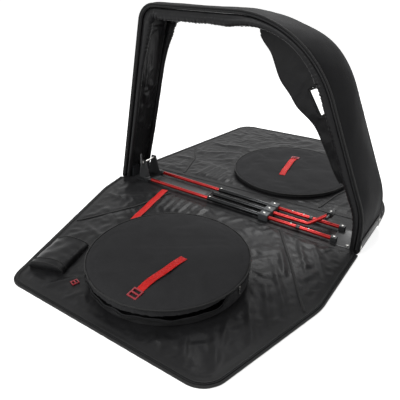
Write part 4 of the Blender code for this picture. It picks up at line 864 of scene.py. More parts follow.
def zip_run(name, path, width, thickness, body, node, **more):
    """The tape of a zip along a path."""
    piece = tube_piece(name, path, flat_section(width, thickness), zip_tape(), **more)
    stand_in(piece, body, "zip_tape", node)


SQUARE = ((-1, -1), (1, -1), (1, 1), (-1, 1))
BLOCK_FACES = ((0, 3, 2, 1), (4, 5, 6, 7), (0, 1, 5, 4), (1, 2, 6, 5), (2, 3, 7, 6), (3, 0, 4, 7))


def zip_teeth(name, path, up, body, size=TOOTH):
    """The teeth of a zip over its tape."""
    stand_in(teeth_mesh(name, path, up, TOOTH_PITCH, size, zip_coil()), body, "zip_tape")


def teeth_mesh(name, path, up, pitch, size, coat):
    """Zip teeth: small blocks at an even pitch along a line, narrow at their tips, as one mesh."""
    path = evenly(np.asarray(path, float), pitch)
    along = np.gradient(path, axis=0)
    along /= np.linalg.norm(along, axis=1)[:, None]
    up = np.broadcast_to(np.asarray(up, float), path.shape)
    side = np.cross(along, up)
    long, wide, high = (part / 2 for part in size)
    points, faces = [], []
    for k in range(len(path)):
        lean = wide * 0.15 * (1 if k % 2 else -1)
        for w, taper in ((-1, 1.0), (1, 0.75)):
            for u, v in SQUARE:
                ahead, aside = along[k] * (u * long * taper), side[k] * (v * wide * taper + lean)
                points.append(path[k] + ahead + aside + up[k] * (w * high))
        faces += [tuple(8 * k + i for i in face) for face in BLOCK_FACES]
    return mesh_piece(name, points, faces, coat, smooth=False)


class HoopEdges(bpy.types.Operator):
    """Bound edges and zip tracks along both sides of the hoop"""

    bl_idname = "travel_bag.hoop_edges"
    bl_label = "Hoop edges"

    def execute(self, context):
        half = sizes().hoop_depth / 2
        over_base, whole = (hoop_span(0.008, foot)[:2] for foot in (TUB_TOP + 0.004, FOOT))
        for side in (FRONT, BACK):
            name = NAMES[side]
            path = self.beside(over_base, BINDING_INSET, side * (half - 0.0017))
            section = round_section(0.0041, 10)
            bound_edge(f"{name}_edge_binding", path, section, "bag", f"{name}_edge_piping", ways=(0, 1, 0))
            path = self.beside(whole, ZIP_INSET, side * (half + 0.0010))
            zip_run(f"{name}_zip_tape", path, 0.0068, 0.0010, "bag", f"{name}_zip_track", ways=(0, side, 0))
            path = self.beside(whole, TEETH_INSET, side * (half + 0.0021))
            zip_teeth(f"{name}_zip_teeth", path, (0, side, 0), "bag")
        return {"FINISHED"}

    def beside(self, edge, inset, y):
        line, way = edge
        return narrowed(upright(line + way * inset, y))


class BaseShell(bpy.types.Operator):
    """Tarpaulin base with its upturned ends and hems"""

    bl_idname = "travel_bag.base_shell"
    bl_label = "Base shell"

    def execute(self, context):
        s = sizes()
        half, depth = s.hoop_length / 2, s.hoop_depth / 2
        lean = s.rear_lean / s.hoop_height * TUB_TOP
        corners = [(-half + lean, TUB_TOP), (-half, 0.0), (half, 0.0), (half, TUB_TOP)]
        line = rounded(corners, (0.02, 0.02), 0.008)
        way = -inward(line)
        across = np.linspace(-depth, depth, 25)
        soft, thick = 0.004, 0.0040
        edge = np.clip((np.abs(across) - (depth - soft)) / soft, 0, 1)
        inset = 0.0016 * (1 - np.sqrt(1 - edge**2))
        insets = np.concatenate((inset, thick - inset * 0.5))
        acrosses = np.concatenate((across, across[::-1]))
        place = line[:, None, :] + way[:, None, :] * insets[None, :, None]
        grid = np.empty((len(line), len(acrosses), 3))
        grid[:, :, 0], grid[:, :, 1] = place[:, :, 0], acrosses[None, :]
        grid[:, :, 2] = np.clip(place[:, :, 1], 0.0, TUB_TOP)
        grid = narrowed(grid)
        uvs = weave_map(travelled(line), acrosses)
        tub = mesh_piece("base_shell", grid, tube_faces(*grid.shape[:2]), base_tarpaulin(), uvs)
        stand_in(tub, "bag", "base_tarpaulin", "base_tub")
        across = np.linspace(-depth + 0.004, depth - 0.004, 40)
        for name, (x, z), out in (("rear", line[0], -1), ("fork", line[-1], 1)):
            path = np.stack(np.broadcast_arrays(x + out * 0.0004, across, z - 0.010), axis=1)
            section = flat_section(0.020, 0.0016)
            bound_edge(f"{name}_base_hem", narrowed(path), section, "bag", ways=(out, 0, 0))
        repaint(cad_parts["base_board"], fibre_board())
        return {"FINISHED"}


class BaseMat(bpy.types.Operator):
    """Padded floor of the base, slightly slack between its edges"""

    bl_idname = "travel_bag.base_mat"
    bl_label = "Base mat"

    def execute(self, context):
        low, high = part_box("base_mat")
        xs = np.linspace(low[0] + 0.001, high[0] - 0.001, 150)
        ys = np.linspace(low[1], -low[1], 34)
        x, y = np.meshgrid(xs, ys, indexing="ij")
        free = rise(0.150 - np.abs(y), 0.0, 0.03) * rise(0.655 - np.abs(x), 0.0, 0.06)
        long_folds = np.abs(uneven(x * 0.35, y, 0.06, 41)) ** 0.8
        start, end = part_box("front_foot_plate")
        slid = rise(np.maximum(start[0] - 0.085 - x, np.maximum(y - end[1], start[1] - y)), 0.0, 0.02)
        z = MAT_TOP - 0.0010 + free * slid * (0.0016 * long_folds + 0.0007 * uneven(x, y, 0.05, 42))
        top = narrowed(np.stack((x, y, z), axis=2))
        bottom = narrowed(np.stack((x, y, np.full(x.shape, low[2])), axis=2))
        mat = slab_piece("base_padding", top, bottom, lining_nylon())
        stand_in(mat, "bag", "lining_nylon", "base_mat")
        return {"FINISHED"}


def slab_piece(name, top, bottom, coat):
    """A closed piece between two grids of the same size."""
    rows, columns = top.shape[:2]
    count = rows * columns
    faces = grid_faces(rows, columns)
    lower = [tuple(count + i for i in reversed(face)) for face in faces]
    rim = [(0, c) for c in range(columns)] + [(r, columns - 1) for r in range(1, rows)]
    rim += [(rows - 1, c) for c in range(columns - 2, -1, -1)] + [(r, 0) for r in range(rows - 2, 0, -1)]
    rim = [r * columns + c for r, c in rim]
    sides = [(a, b, b + count, a + count) for a, b in zip(rim, rim[1:] + rim[:1])]
    points = np.concatenate((top.reshape(-1, 3), bottom.reshape(-1, 3)))
    uvs = np.concatenate((top[:, :, :2].reshape(-1, 2), bottom[:, :, :2].reshape(-1, 2)))
    return mesh_piece(name, points, faces + lower + sides, coat, uvs)


# Side panels


def panel_grid(side, inset, step, columns):
    """A grid over a panel: how far along the bag and how far across from its hinge."""
    line, way = panel_line(side, 0.006)
    line = line + way * inset
    top = line[:, 1].max()
    at_top = np.nonzero(line[:, 1] > top - 1e-4)[0]
    left, right = line[: at_top[0] + 1], line[at_top[-1] :][::-1]
    rows = round(top / step)
    across = np.linspace(0, top, rows)
    extra = top - np.array([0.0005, 0.002, 0.0045, 0.008, 0.0125, 0.018])
    across = np.unique(np.round(np.concatenate((across, extra)), 5))
    starts = np.interp(across, left[:, 1], left[:, 0])
    ends = np.interp(across, right[:, 1], right[:, 0])
    share = np.linspace(0, 1, columns)
    x = starts[:, None] + (ends - starts)[:, None] * share[None, :]
    v = np.broadcast_to(across[:, None], x.shape)
    return x, v.copy()


def edge_distance(side, x, v):
    """How far points of a panel are from its outer edge."""
    return line_distance(x, v, panel_line(side, 0.012)[0])


SEAMS = {
    FRONT: (
        [(-0.640, 0.640), (-0.507, 0.4765), (-0.379, 0.2165), (-0.330, 0.010)],
        [(0.330, 0.010), (0.378, 0.0795), (0.477, 0.2165), (0.611, 0.4175), (0.690, 0.520)]),
    BACK: (
        [(-0.600, 0.440), (-0.480, 0.230), (-0.420, 0.010)],
        [(0.400, 0.010), (0.440, 0.210), (0.560, 0.480)]),
}


def seam_share(side, x, v, width):
    """How near points of a panel are to its two sewn seams: 1 on them."""
    return np.maximum(*(swell(line_distance(x, v, seam), width) for seam in SEAMS[side]))


def pocket_distance(side, x, v):
    """How far points of a panel are outside its pocket's wall."""
    middle = POCKETS[side]
    return np.hypot(x - middle[0], v - middle[1]) - POCKET_RADIUS


class SidePanels(bpy.types.Operator):
    """The two laid panels: slack lining with its seams and folds, padded shell, bound and zipped edge"""

    bl_idname = "travel_bag.side_panels"
    bl_label = "Side panels"

    def execute(self, context):
        for side in (FRONT, BACK):
            self.lining(side)
            self.shell(side)
            self.edge(side)
            self.hinge(side)
            self.welts(side)
        return {"FINISHED"}

    def welts(self, side):
        """Thin bound welts over the lining's two sewn seams."""
        body = f"{NAMES[side]}_panel"
        for index, line in enumerate(SEAMS[side]):
            x, v = smoothed(evenly(np.array(line), 0.012), 6).T
            edge, _ = panel_line(side, 0.012)
            rear, fork = edge[: len(edge) // 2], edge[len(edge) // 2 :][::-1]
            left = np.interp(v, rear[:, 1], rear[:, 0]) + EDGE_BAND
            right = np.interp(v, fork[:, 1], fork[:, 0]) - EDGE_BAND
            keep = (x > left) & (x < right)
            x, v = x[keep], v[keep]
            height = PANEL_TOP + 0.0014 + 0.0004 * uneven(x, v, 0.08, 85 + index)
            path = laid(side, x, v, height)
            section = round_section(0.0052, 8, 0.0020)
            bound_edge(f"{NAMES[side]}_seam_welt_{index}", path, section, body)

    def lining(self, side):
        body = f"{NAMES[side]}_panel"
        s = sizes()
        x, v = panel_grid(side, 0.0096, s.mesh_step * 1.17, 124)
        edge = edge_distance(side, x, v)
        round_pocket = pocket_distance(side, x, v)
        free = rise(edge, 0.044, 0.074) * rise(round_pocket, 0.006, 0.05) * rise(v, 0.006, 0.045)
        seams = seam_share(side, x, v, 0.016)
        if side == FRONT:
            px, pv = x - POUCH_PLACE[0], v + POUCH_PLACE[1] + HINGE
            across = np.abs(px * math.cos(POUCH_TURN) + pv * math.sin(POUCH_TURN))
            along = np.abs(px * math.sin(POUCH_TURN) - pv * math.cos(POUCH_TURN))
            free = free * rise(np.maximum(across - 0.078, along - 0.102), 0.0, 0.03)
        height = np.zeros(x.shape)
        for start, end, width, tall in panel_folds(side):
            height += stroke(x, v, start, end, width * 0.85) * tall * 1.5
        height += 0.0015 * np.abs(uneven(x, v, 0.09, 51 + side)) + 0.0008 * uneven(x, v, 0.035, 53 + side)
        height = height * free * (1 - seams)
        hem = 0.0012 * swell(edge - 0.044, 0.010) - 0.0009 * swell(edge - 0.034, 0.004)
        height += hem * rise(round_pocket, 0.004, 0.02) - 0.0010 * seams * rise(edge, 0.02, 0.03)
        top = laid(side, x, GAP + v, PANEL_TOP + np.maximum(height, -0.0010))
        uvs = np.stack((x, v), axis=2)
        cloth_piece = sheet_piece(f"{body}_cloth", top, uvs, lining_nylon(), up=UP)
        held = 1 - np.clip(rise(free, 0.0, 0.35) * (1 - seams), 0, 1)
        settle(cloth_piece, held, 0.012, 20, s.cloth_rise, 0.2, UP, 0.0008)
        thicken(cloth_piece, 0.0012)
        stand_in(cloth_piece, body, "lining_nylon", f"{body}_lining")

    def shell(self, side):
        body = f"{NAMES[side]}_panel"
        x, v = panel_grid(side, 0.0093, 0.018, 76)
        edge = edge_distance(side, x, v)
        round_pocket = np.abs(pocket_distance(side, x, v))
        seams = seam_share(side, x, v, 0.010)
        seams = np.maximum(seams, swell(round_pocket, 0.009))
        seams = np.maximum(seams, swell(edge - 0.034, 0.007))
        loose = 0.0009 + 0.0009 * uneven(x, v, 0.16, 61 + side)
        under = np.maximum(loose * rise(edge, 0.01, 0.05), 0.0) + 0.0016 * seams
        under += 0.0040 * (1 - rise(edge, 0.0085, 0.018))
        top = laid(side, x, GAP + v, PANEL_SHELL_TOP)
        bottom = laid(side, x, GAP + v, under)
        shell = slab_piece(f"{body}_padding", top, bottom, shell_nylon())
        stand_in(shell, body, "shell_nylon", f"{body}_shell")

    def edge(self, side):
        body = f"{NAMES[side]}_panel"
        line, way = panel_line(side, 0.006)
        line, way = line[1:-1], way[1:-1]
        wave = 0.0005 * uneven(travelled(line), 0.0, 0.05, 71 + side)
        path = laid(side, *(line + way * PANEL_BINDING_INSET).T, 0.0064 + wave)
        section = round_section(0.0045, 12, 0.0057)
        bound_edge(f"{body}_binding", path, section, body, f"{body}_piping")
        keep = line[:, 1] > 0.012
        line, way = line[keep], way[keep]
        path = laid(side, *(line + way * PANEL_ZIP_INSET).T, 0.0136)
        zip_run(f"{body}_zip_tape", path, 0.0075, 0.0012, body, f"{body}_zip_track")
        path = laid(side, *(line + way * PANEL_TEETH_INSET).T, 0.0148)
        zip_teeth(f"{body}_zip_teeth", path, UP, body)

    def hinge(self, side):
        """The strip of cloth that joins a panel to the base, over the hinge line."""
        half = STRIP_LENGTH / 2
        along, across = np.linspace(-half, half, 160), np.linspace(STRIP_START, STRIP_END, 11)
        x, v = np.meshgrid(along, across, indexing="ij")
        z = PANEL_TOP + 0.0012 + 0.0004 * uneven(x, v * 0.3, 0.04, 81 + side)
        name, uvs = f"{NAMES[side]}_hinge_strip", np.stack((x, v), axis=2)
        strip = sheet_piece(name, laid(side, x, v, z), uvs, lining_nylon(), up=UP)
        thicken(strip, 0.0008)
        start, end = (laid(side, 0.0, v, PANEL_TOP).tolist() for v in (-0.003, 0.003))
        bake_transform(strip)


def panel_folds(side):
    """Folds in a panel's lining: start, end, width and height, along and across from the hinge."""
    near_hinge = [
        ((-0.36, 0.02), (-0.33, 0.17), 0.016, 0.0055), ((-0.315, 0.02), (-0.29, 0.19), 0.013, 0.0065),
        ((-0.27, 0.015), (-0.245, 0.19), 0.012, 0.0060), ((-0.228, 0.015), (-0.205, 0.18), 0.013, 0.0068),
        ((-0.18, 0.015), (-0.165, 0.17), 0.012, 0.0055), ((-0.135, 0.02), (-0.125, 0.16), 0.014, 0.0050),
        ((-0.08, 0.02), (-0.075, 0.13), 0.014, 0.0040)]
    fork_end = [
        ((0.440, 0.050), (0.560, 0.240), 0.013, 0.0040), ((0.510, 0.040), (0.635, 0.230), 0.014, 0.0045),
        ((0.405, 0.160), (0.500, 0.320), 0.013, 0.0050), ((0.440, 0.290), (0.600, 0.520), 0.015, 0.0058),
        ((0.455, 0.400), (0.585, 0.620), 0.014, 0.0055), ((0.450, 0.530), (0.600, 0.760), 0.015, 0.0062),
        ((0.430, 0.640), (0.500, 0.800), 0.013, 0.0060), ((0.420, 0.720), (0.545, 0.900), 0.014, 0.0060),
        ((0.360, 0.800), (0.440, 0.940), 0.014, 0.0055), ((0.270, 0.860), (0.330, 0.945), 0.013, 0.0048)]
    rear_end = [
        ((-0.27, 0.55), (-0.46, 0.50), 0.016, 0.0045), ((-0.29, 0.44), (-0.50, 0.33), 0.016, 0.0050),
        ((-0.22, 0.36), (-0.36, 0.26), 0.014, 0.0050), ((-0.18, 0.80), (-0.25, 0.93), 0.015, 0.0045),
        ((-0.10, 0.85), (-0.13, 0.94), 0.013, 0.0040), ((-0.47, 0.22), (-0.62, 0.20), 0.018, 0.0040)]
    folds = near_hinge + fork_end + rear_end
    if side == BACK:
        folds = [
            ((a[0] + 0.02, a[1]), (b[0] + 0.015, b[1] + 0.01), width * 1.1, height * 0.8)
            for a, b, width, height in folds]
    return folds


# Wheel pockets


def ring_points(radius, heights, turns, side):
    """Points round a pocket: turns run from along the bag, towards the panel's far edge."""
    x, across = POCKETS[side]
    return laid(side, x + radius * np.cos(turns), across + radius * np.sin(turns), heights)


def mouth_share(turns, side):
    """How open the pocket is at a turn: 1 over the front one's mouth."""
    if side == BACK:
        return np.zeros(np.shape(turns))
    return rise(np.sin(turns), 0.15, 0.30)


def wall_top(side, run, open_share):
    """Height of a pocket wall's upper edge: it slumps where the mouth is open."""
    low = WALL_LOW + 0.033 + 0.0035 * uneven(run, 0.0, 0.16, 91 + side)
    return (WALL_HIGH - SINK[side]) * (1 - open_share) + low * open_share


class WheelPockets(bpy.types.Operator):
    """Round pocket walls on the panels, the front one unzipped and slack over its mouth"""

    bl_idname = "travel_bag.wheel_pockets"
    bl_label = "Wheel pockets"

    def execute(self, context):
        for side in (FRONT, BACK):
            self.wall(side)
            self.zip(side)
        return {"FINISHED"}

    def wall(self, side):
        name = NAMES[side]
        turns = np.linspace(0, math.tau, 260, endpoint=False)
        share = np.linspace(0, 1, 13)
        turn, part = np.meshgrid(turns, share, indexing="ij")
        run = turn * POCKET_RADIUS
        open_share = mouth_share(turn, side)
        top = wall_top(side, run, open_share)
        height = WALL_LOW + (top - WALL_LOW) * part
        belly = np.sin(part * math.pi) * (0.0035 + 0.0030 * uneven(run, part * 0.05, 0.10, 92 + side))
        fold = 0.0022 * uneven(run, part * 0.012, 0.030, 93 + side) * np.sin(part * math.pi)
        if side == BACK:
            belly, fold = belly * 0.4, fold * 0.4
        lean = open_share * part * (0.004 + 0.006 * uneven(run, part * 0.01, 0.075, 94 + side))
        out = np.clip(belly + fold, -0.004, 0.0065) * (1 - open_share * 0.5)
        radius = POCKET_RADIUS - 0.0030 + out + lean
        grid = ring_points(radius, height, turn, side)
        uvs = np.stack((run, height), axis=2)
        faces = grid_faces(len(turns), len(share), close_rows=True)
        wall = mesh_piece(f"{name}_pocket_side", grid, faces, pocket_nylon(), uvs)
        face_towards(wall, ring_points(0.0, 0.05, 0.0, side), away=True)
        thicken(wall, 0.0022)
        stand_in(wall, f"{name}_panel", "pocket_nylon", f"{name}_pocket_wall")

    def zip(self, side):
        name, body = NAMES[side], f"{NAMES[side]}_panel"
        turns = np.linspace(0, math.tau, 240, endpoint=False)
        open_share = mouth_share(turns, side)
        run = turns * POCKET_RADIUS
        top = wall_top(side, run, open_share)
        lean = open_share * (0.004 + 0.006 * uneven(run, 0.01, 0.075, 94 + side))
        path = ring_points(POCKET_RADIUS + 0.0022 + lean, top - 0.0085 + open_share * 0.003, turns, side)
        outward = ring_points(1.0, 0.0, turns, side) - ring_points(0.0, 0.0, turns, side)
        node = f"{name}_pocket_zip_track"
        zip_run(f"{name}_pocket_zip_tape", path, 0.010, 0.0012, body, node, ways=outward, closed=True)
        path = path + outward * 0.0012
        path[:, 2] += open_share * 0.0035
        path = np.vstack((path, path[:1]))
        zip_teeth(f"{name}_pocket_zip_teeth", path, UP, body, (0.0021, 0.0014, 0.0036))


class PocketLids(bpy.types.Operator):
    """Soft round lids with a bound rim, and the loose band under the open one"""

    bl_idname = "travel_bag.pocket_lids"
    bl_label = "Pocket lids"

    def execute(self, context):
        for side in (FRONT, BACK):
            self.lid(side)
            self.rim(side)
        self.band()
        return {"FINISHED"}

    def lid(self, side):
        name = NAMES[side]
        count = 74
        u, v = np.meshgrid(np.linspace(-1, 1, count), np.linspace(-1, 1, count), indexing="ij")
        x = u * np.sqrt(1 - v**2 / 2) * (LID_RADIUS - 0.0005)
        y = v * np.sqrt(1 - u**2 / 2) * (LID_RADIUS - 0.0005)
        radius = np.hypot(x, y)
        turn = np.arctan2(y, x)
        inside = rise(LID_RADIUS - radius, 0.002, 0.045)
        dome = 0.0060 * (1 - (radius / LID_RADIUS) ** 2.2)
        rim = 0.0034 * np.sqrt(np.clip((LID_RADIUS - radius) / 0.010, 0, 1))
        puckers = uneven(turn * 0.33, radius * 0.1, 0.024, 101 + side)
        puckers = swell(LID_RADIUS - 0.014 - radius, 0.014) * puckers
        slow = uneven(x, y, 0.19, 103 + side) * 0.0016 + uneven(x, y, 0.07, 105 + side) * 0.0004
        floor = LID_LOW - SINK[side]
        z = floor + 0.0036 + rim + dome + puckers * 0.0009 + slow * inside
        middle_x, middle_v = POCKETS[side]
        top = laid(side, middle_x + x, middle_v + y, z)
        low = floor + 0.0034 - 0.0032 * np.sqrt(np.clip((LID_RADIUS - radius) / 0.008, 0, 1))
        bottom = laid(side, middle_x + x, middle_v + y, low)
        lid = slab_piece(f"{name}_lid", top, bottom, pocket_nylon())
        held = np.concatenate(((1 - rise(inside, 0.1, 0.5)).ravel(), np.ones(x.size)))
        settle(lid, held, 0.006, 14, 0.0035, 0.6, UP, 0.0015)
        soften(lid)
        stand_in(lid, f"{name}_lid", "pocket_nylon", f"{name}_pocket_lid")

    def rim(self, side):
        turns = np.linspace(0, math.tau, 300, endpoint=False)
        run = turns * LID_RADIUS
        wave = 0.0008 * uneven(run, 0.0, 0.09, 107 + side)
        radius = LID_RADIUS + 0.0036 + 0.0006 * uneven(run, 0.0, 0.06, 109 + side)
        path = ring_points(radius, 0.0886 - SINK[side] + wave, turns, side)
        body = f"{NAMES[side]}_lid"
        bound_edge(f"{body}_binding", path, round_section(0.0033, 10), body, f"{body}_piping", closed=True)

    def band(self):
        """The lid's half of the opened zip hangs from its rim over the mouth."""
        turns = np.linspace(math.radians(12), math.radians(168), 150)
        share = np.linspace(0, 1, 8)
        turn, part = np.meshgrid(turns, share, indexing="ij")
        run = turn * LID_RADIUS
        ends = np.sin((turn - turns[0]) / (turns[-1] - turns[0]) * math.pi) ** 0.45
        drop = 0.027 * ends * (1 + 0.12 * uneven(run, 0.0, 0.14, 111))
        height = 0.0862 - drop * part
        out = 0.0030 * uneven(run, part * 0.02, 0.06, 113) + 0.0025 * uneven(run, part * 0.01, 0.022, 115)
        out = out * part
        grid = ring_points(LID_RADIUS + 0.0012 + out + 0.002 * part, height, turn, FRONT)
        band = sheet_piece("front_lid_band", grid, np.stack((run, height), axis=2), pocket_nylon())
        face_towards(band, ring_points(0.0, 0.05, 0.0, FRONT), away=True)
        thicken(band, 0.0014)
        stand_in(band, "front_lid", "pocket_nylon")


def surface_tree(*pieces):
    """The finished shapes of some pieces as one tree that rays can hit."""
    graph = bpy.context.evaluated_depsgraph_get()
    points, faces = [], []
    for piece in pieces:
        seen = piece.evaluated_get(graph)
        mesh = seen.to_mesh()
        first = len(points)
        points += [piece.matrix_world @ v.co for v in mesh.vertices]
        faces += [tuple(first + i for i in face.vertices) for face in mesh.polygons]
        seen.to_mesh_clear()
    return BVHTree.FromPolygons(points, faces)


def top_at(tree, x, y, otherwise):
    hit = tree.ray_cast(Vector((x, y, 1.2)), Vector((0, 0, -1)), 2.0)[0]
    return hit.z if hit is not None else otherwise


def strap_piece(name, path, width, thickness, coat, ways=(0, 0, 1)):
    """A piece of webbing along a path, with soft selvedges."""
    path = evenly(np.asarray(path, float), 0.006)
    return tube_piece(name, path, flat_section(width, thickness), coat, ways=ways)


# Rigid pieces, modelled in edit mode


def pick(*pieces):
    """Selects only these pieces, the first of them active."""
    for other in list(bpy.context.selected_objects):
        other.select_set(False)
    for piece in pieces:
        piece.select_set(True)
    if pieces:
        bpy.context.view_layer.objects.active = pieces[0]


def choose(piece, test):
    """Opens a piece for editing, with only the faces selected whose middle and normal pass a test."""
    pick(piece)
    bpy.context.tool_settings.mesh_select_mode = (False, False, True)
    mesh = piece.data
    mesh.vertices.foreach_set("select", [False] * len(mesh.vertices))
    mesh.edges.foreach_set("select", [False] * len(mesh.edges))
    mesh.polygons.foreach_set("select", [bool(test(face.center, face.normal)) for face in mesh.polygons])
    bpy.ops.object.mode_set(mode="EDIT")


def close_edit():
    bpy.ops.object.mode_set(mode="OBJECT")


def added(name):
    """The primitive that was just added, with its turn and size put into its mesh."""
    made = bpy.context.object
    made.name = made.data.name = name
    bpy.ops.object.transform_apply(location=True, rotation=True, scale=True)
    return made


def block(name, low, high):
    """A cube at its size and place, to be shaped further."""
    low, high = Vector(low), Vector(high)
    pick()
    bpy.ops.mesh.primitive_cube_add(size=1.0, location=(low + high) / 2, scale=high - low)
    return added(name)


def round_bar(name, start, end, radius, sides=28):
    """A cylinder between two places, to be shaped further."""
    start, end = Vector(start), Vector(end)
    run = end - start
    turn = run.to_track_quat("Z", "Y").to_euler()
    pick()
    bpy.ops.mesh.primitive_cylinder_add(
        vertices=sides, radius=radius, depth=run.length, location=(start + end) / 2, rotation=turn)
    return added(name)


def step_face(piece, way, steps, test=None):
    """Insets the faces that look one way and moves them along it, once for each inset and move."""
    way = Vector(way).normalized()
    choose(piece, lambda middle, normal: normal.dot(way) > 0.99 and (test is None or test(middle)))
    for inset, move in steps:
        if inset:
            bpy.ops.mesh.inset(thickness=inset)
        if move:
            bpy.ops.mesh.extrude_region_move(TRANSFORM_OT_translate={"value": way * move})
    close_edit()
    return piece


def step_both(piece, way, steps):
    """The same steps on the two opposite sides of a piece."""
    for sign in (-1, 1):
        step_face(piece, Vector(way) * sign, steps)


def cut(piece, place, normal):
    """Cuts all the faces of a piece along a plane."""
    choose(piece, lambda middle, way: True)
    bpy.ops.mesh.bisect(plane_co=place, plane_no=normal)
    close_edit()


def squeeze(piece, way, shares, centre):
    """Resizes the faces that look one way about a centre."""
    way = Vector(way)
    choose(piece, lambda middle, normal: normal.dot(way) > 0.99)
    bpy.ops.transform.resize(value=shares, center_override=centre)
    close_edit()


def tunnel(piece, way, inset, test=None):
    """Opens a hole right through a piece: its two opposite faces are inset and bridged."""
    way = Vector(way).normalized()
    choose(piece, lambda middle, normal: abs(normal.dot(way)) > 0.99 and (test is None or test(middle)))
    bpy.ops.mesh.inset(thickness=inset)
    bpy.ops.mesh.bridge_edge_loops()
    close_edit()
    return piece


def finish_rigid(piece, coat, bevel, segments=2):
    """Bevelled edges, smooth shading up to an angle and one material."""
    pick(piece)
    if bevel:
        modifier(piece, "BEVEL", "Edges", width=bevel, segments=segments, limit_method="ANGLE")
        bpy.ops.object.modifier_apply(modifier="Edges")
    bpy.ops.object.shade_smooth_by_angle(angle=SMOOTH_ANGLE)
    repaint(piece, coat)
    piece.select_set(False)
    return piece


def joined(first, *others):
    """Joins finished shapes of one material into one piece."""
    pick(first, *others)
    bpy.ops.object.join()
    first.select_set(False)
    return first


def twin(piece, name, turn, place):
    """A copy with its own mesh, turned and moved in its mesh."""
    made = new_object(name, piece.data.copy())
    made.data.name = name
    return place_mesh(made, turn, place)


def screw(name, place, radius, height, body):
    """A steel screw or rivet head with a sunk socket, its foot at a place on a body."""
    head = round_bar(name, place, Vector(place) + Vector((0, 0, height)), radius, 20)
    step_face(head, (0, 0, 1), ((radius * 0.42, 0.0), (0.0, -height * 0.45)))
    stand_in(finish_rigid(head, bright_steel(), height * 0.28), body, "zip_metal")


def stand_in(piece, body, slot, *nodes):
    """Lets a finished piece take the place of its solids on a body."""
    if nodes:
        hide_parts(*nodes)
    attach(piece, body)
    return piece


def middle_of(node):
    low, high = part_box(node)
    return [(a + b) / 2 for a, b in zip(low, high)]


def place_mesh(piece, turn, place):
    """Moves a mesh's own points, so that the object stays at the origin."""
    piece.data.transform(Matrix.Translation(Vector(place)) @ turn.to_4x4())
    return piece


def centre_on(piece, turn, node):
    """Turns a piece and puts its middle where its solid's middle is."""
    piece.data.transform(turn.to_4x4())
    points = points_of(piece)
    shift = np.array(middle_of(node)) - (points.min(axis=0) + points.max(axis=0)) / 2
    return place_mesh(piece, Matrix.Identity(3), shift)


def facing(along, up):
    """A turn that lays a piece made along X and facing +Z along one way, facing another."""
    along, up = Vector(along).normalized(), Vector(up)
    side = up.cross(along).normalized()
    up = along.cross(side)
    return Matrix((along, side, up)).transposed()


def ladder_buckle(name, length, width, thickness, coat):
    """A ladder buckle lying flat: a plate cut into a frame with a raised middle bar and two slots."""
    made = block(name, (-length / 2, -width / 2, -thickness / 2), (length / 2, width / 2, thickness / 2))
    bar = length * 0.14
    for place, way in ((-bar / 2, 0), (bar / 2, 0), (bar - length / 2, 0), (length / 2 - bar, 0),
                       (bar - width / 2, 1), (width / 2 - bar, 1)):
        normal = (1, 0, 0) if way == 0 else (0, 1, 0)
        cut(made, tuple(place * n for n in normal), normal)
    for side in (-1, 1):
        def slot(middle):
            return abs(middle.y) < width / 2 - bar and bar / 2 < side * middle.x < length / 2 - bar
        choose(made, lambda middle, normal: abs(normal.z) > 0.9 and slot(middle))
        bpy.ops.mesh.bridge_edge_loops()
        close_edit()
    step_face(made, (0, 0, 1), ((0.0, thickness * 0.22),),
              lambda middle: abs(middle.x) < bar / 2 and abs(middle.y) < width / 2 - bar)
    return finish_rigid(made, coat, thickness * 0.16)


# Straps, buckles and the small soft pieces


class HubStraps(bpy.types.Operator):
    """Red webbing over each lid's middle, held by a crimson ladder buckle"""

    bl_idname = "travel_bag.hub_straps"
    bl_label = "Hub straps"

    def execute(self, context):
        s = sizes()
        for side in (FRONT, BACK):
            name, body = NAMES[side], f"{NAMES[side]}_lid"
            lid = surface_tree(bpy.data.objects[f"{name}_lid"])
            places = []
            for share in np.linspace(0, 1, 40):
                along, across = (a + b for a, b in zip(POCKETS[side], STRAPS[side]))
                along, across = along + STRAP_RUN[0] * share, across + STRAP_RUN[1] * share
                x, y, z = laid(side, along, across, 0.098 - SINK[side])
                hump = 0.0095 * math.sin(math.pi * share) ** 1.3 * (0.75 + 0.25 * math.sin(9 * share))
                places.append((x, y, top_at(lid, x, y, z) + 0.0017 + hump))
            strap = strap_piece(f"{name}_hub_webbing", places, s.strap_width, 0.0022, webbing())
            stand_in(strap, body, "red_webbing", f"{name}_hub_strap")
            sewn, way = np.array(places[2]), np.array(places[4]) - np.array(places[0])
            stitch_box(
                f"{name}_strap_stitches", sewn + (0, 0, 0.0014), way / np.linalg.norm(way), UP, 0.022,
                s.strap_width - 0.008, dark_red_thread(), body)
            buckle = ladder_buckle(f"{name}_ladder_buckle", 0.044, 0.046, 0.0050, crimson_acetal())
            end = np.array(places[-1]) - np.array(places[-4])
            place_mesh(buckle, facing(end, (0, 0, 1)), middle_of(f"{name}_hub_buckle"))
            stand_in(buckle, body, "red_buckle", f"{name}_hub_buckle")
        return {"FINISHED"}


class TieStrap(bpy.types.Operator):
    """Red tie strap laid over the front panel from the hinge to the pocket's foot"""

    bl_idname = "travel_bag.tie_strap"
    bl_label = "Tie strap"

    def execute(self, context):
        panel = surface_tree(bpy.data.objects["front_panel_cloth"], bpy.data.objects["front_hinge_strip"])
        places = []
        for share in np.linspace(0, 1, 60):
            x = -0.366 + 0.100 * share - 0.004 * math.sin(math.pi * share)
            y = -0.1590 - 0.4445 * share
            places.append((x, y, top_at(panel, x, y, PANEL_TOP)))
        places = np.array(places)
        high = np.array([places[max(k - 3, 0) : k + 4, 2].max() for k in range(len(places))])
        places[:, 2] = np.convolve(np.pad(high, 2, mode="edge"), np.ones(5) / 5, mode="valid") + 0.0014
        strap = strap_piece("tie_webbing", places, 0.036, 0.0024, webbing())
        stand_in(strap, "front_panel", "red_webbing", "tie_strap")
        return {"FINISHED"}


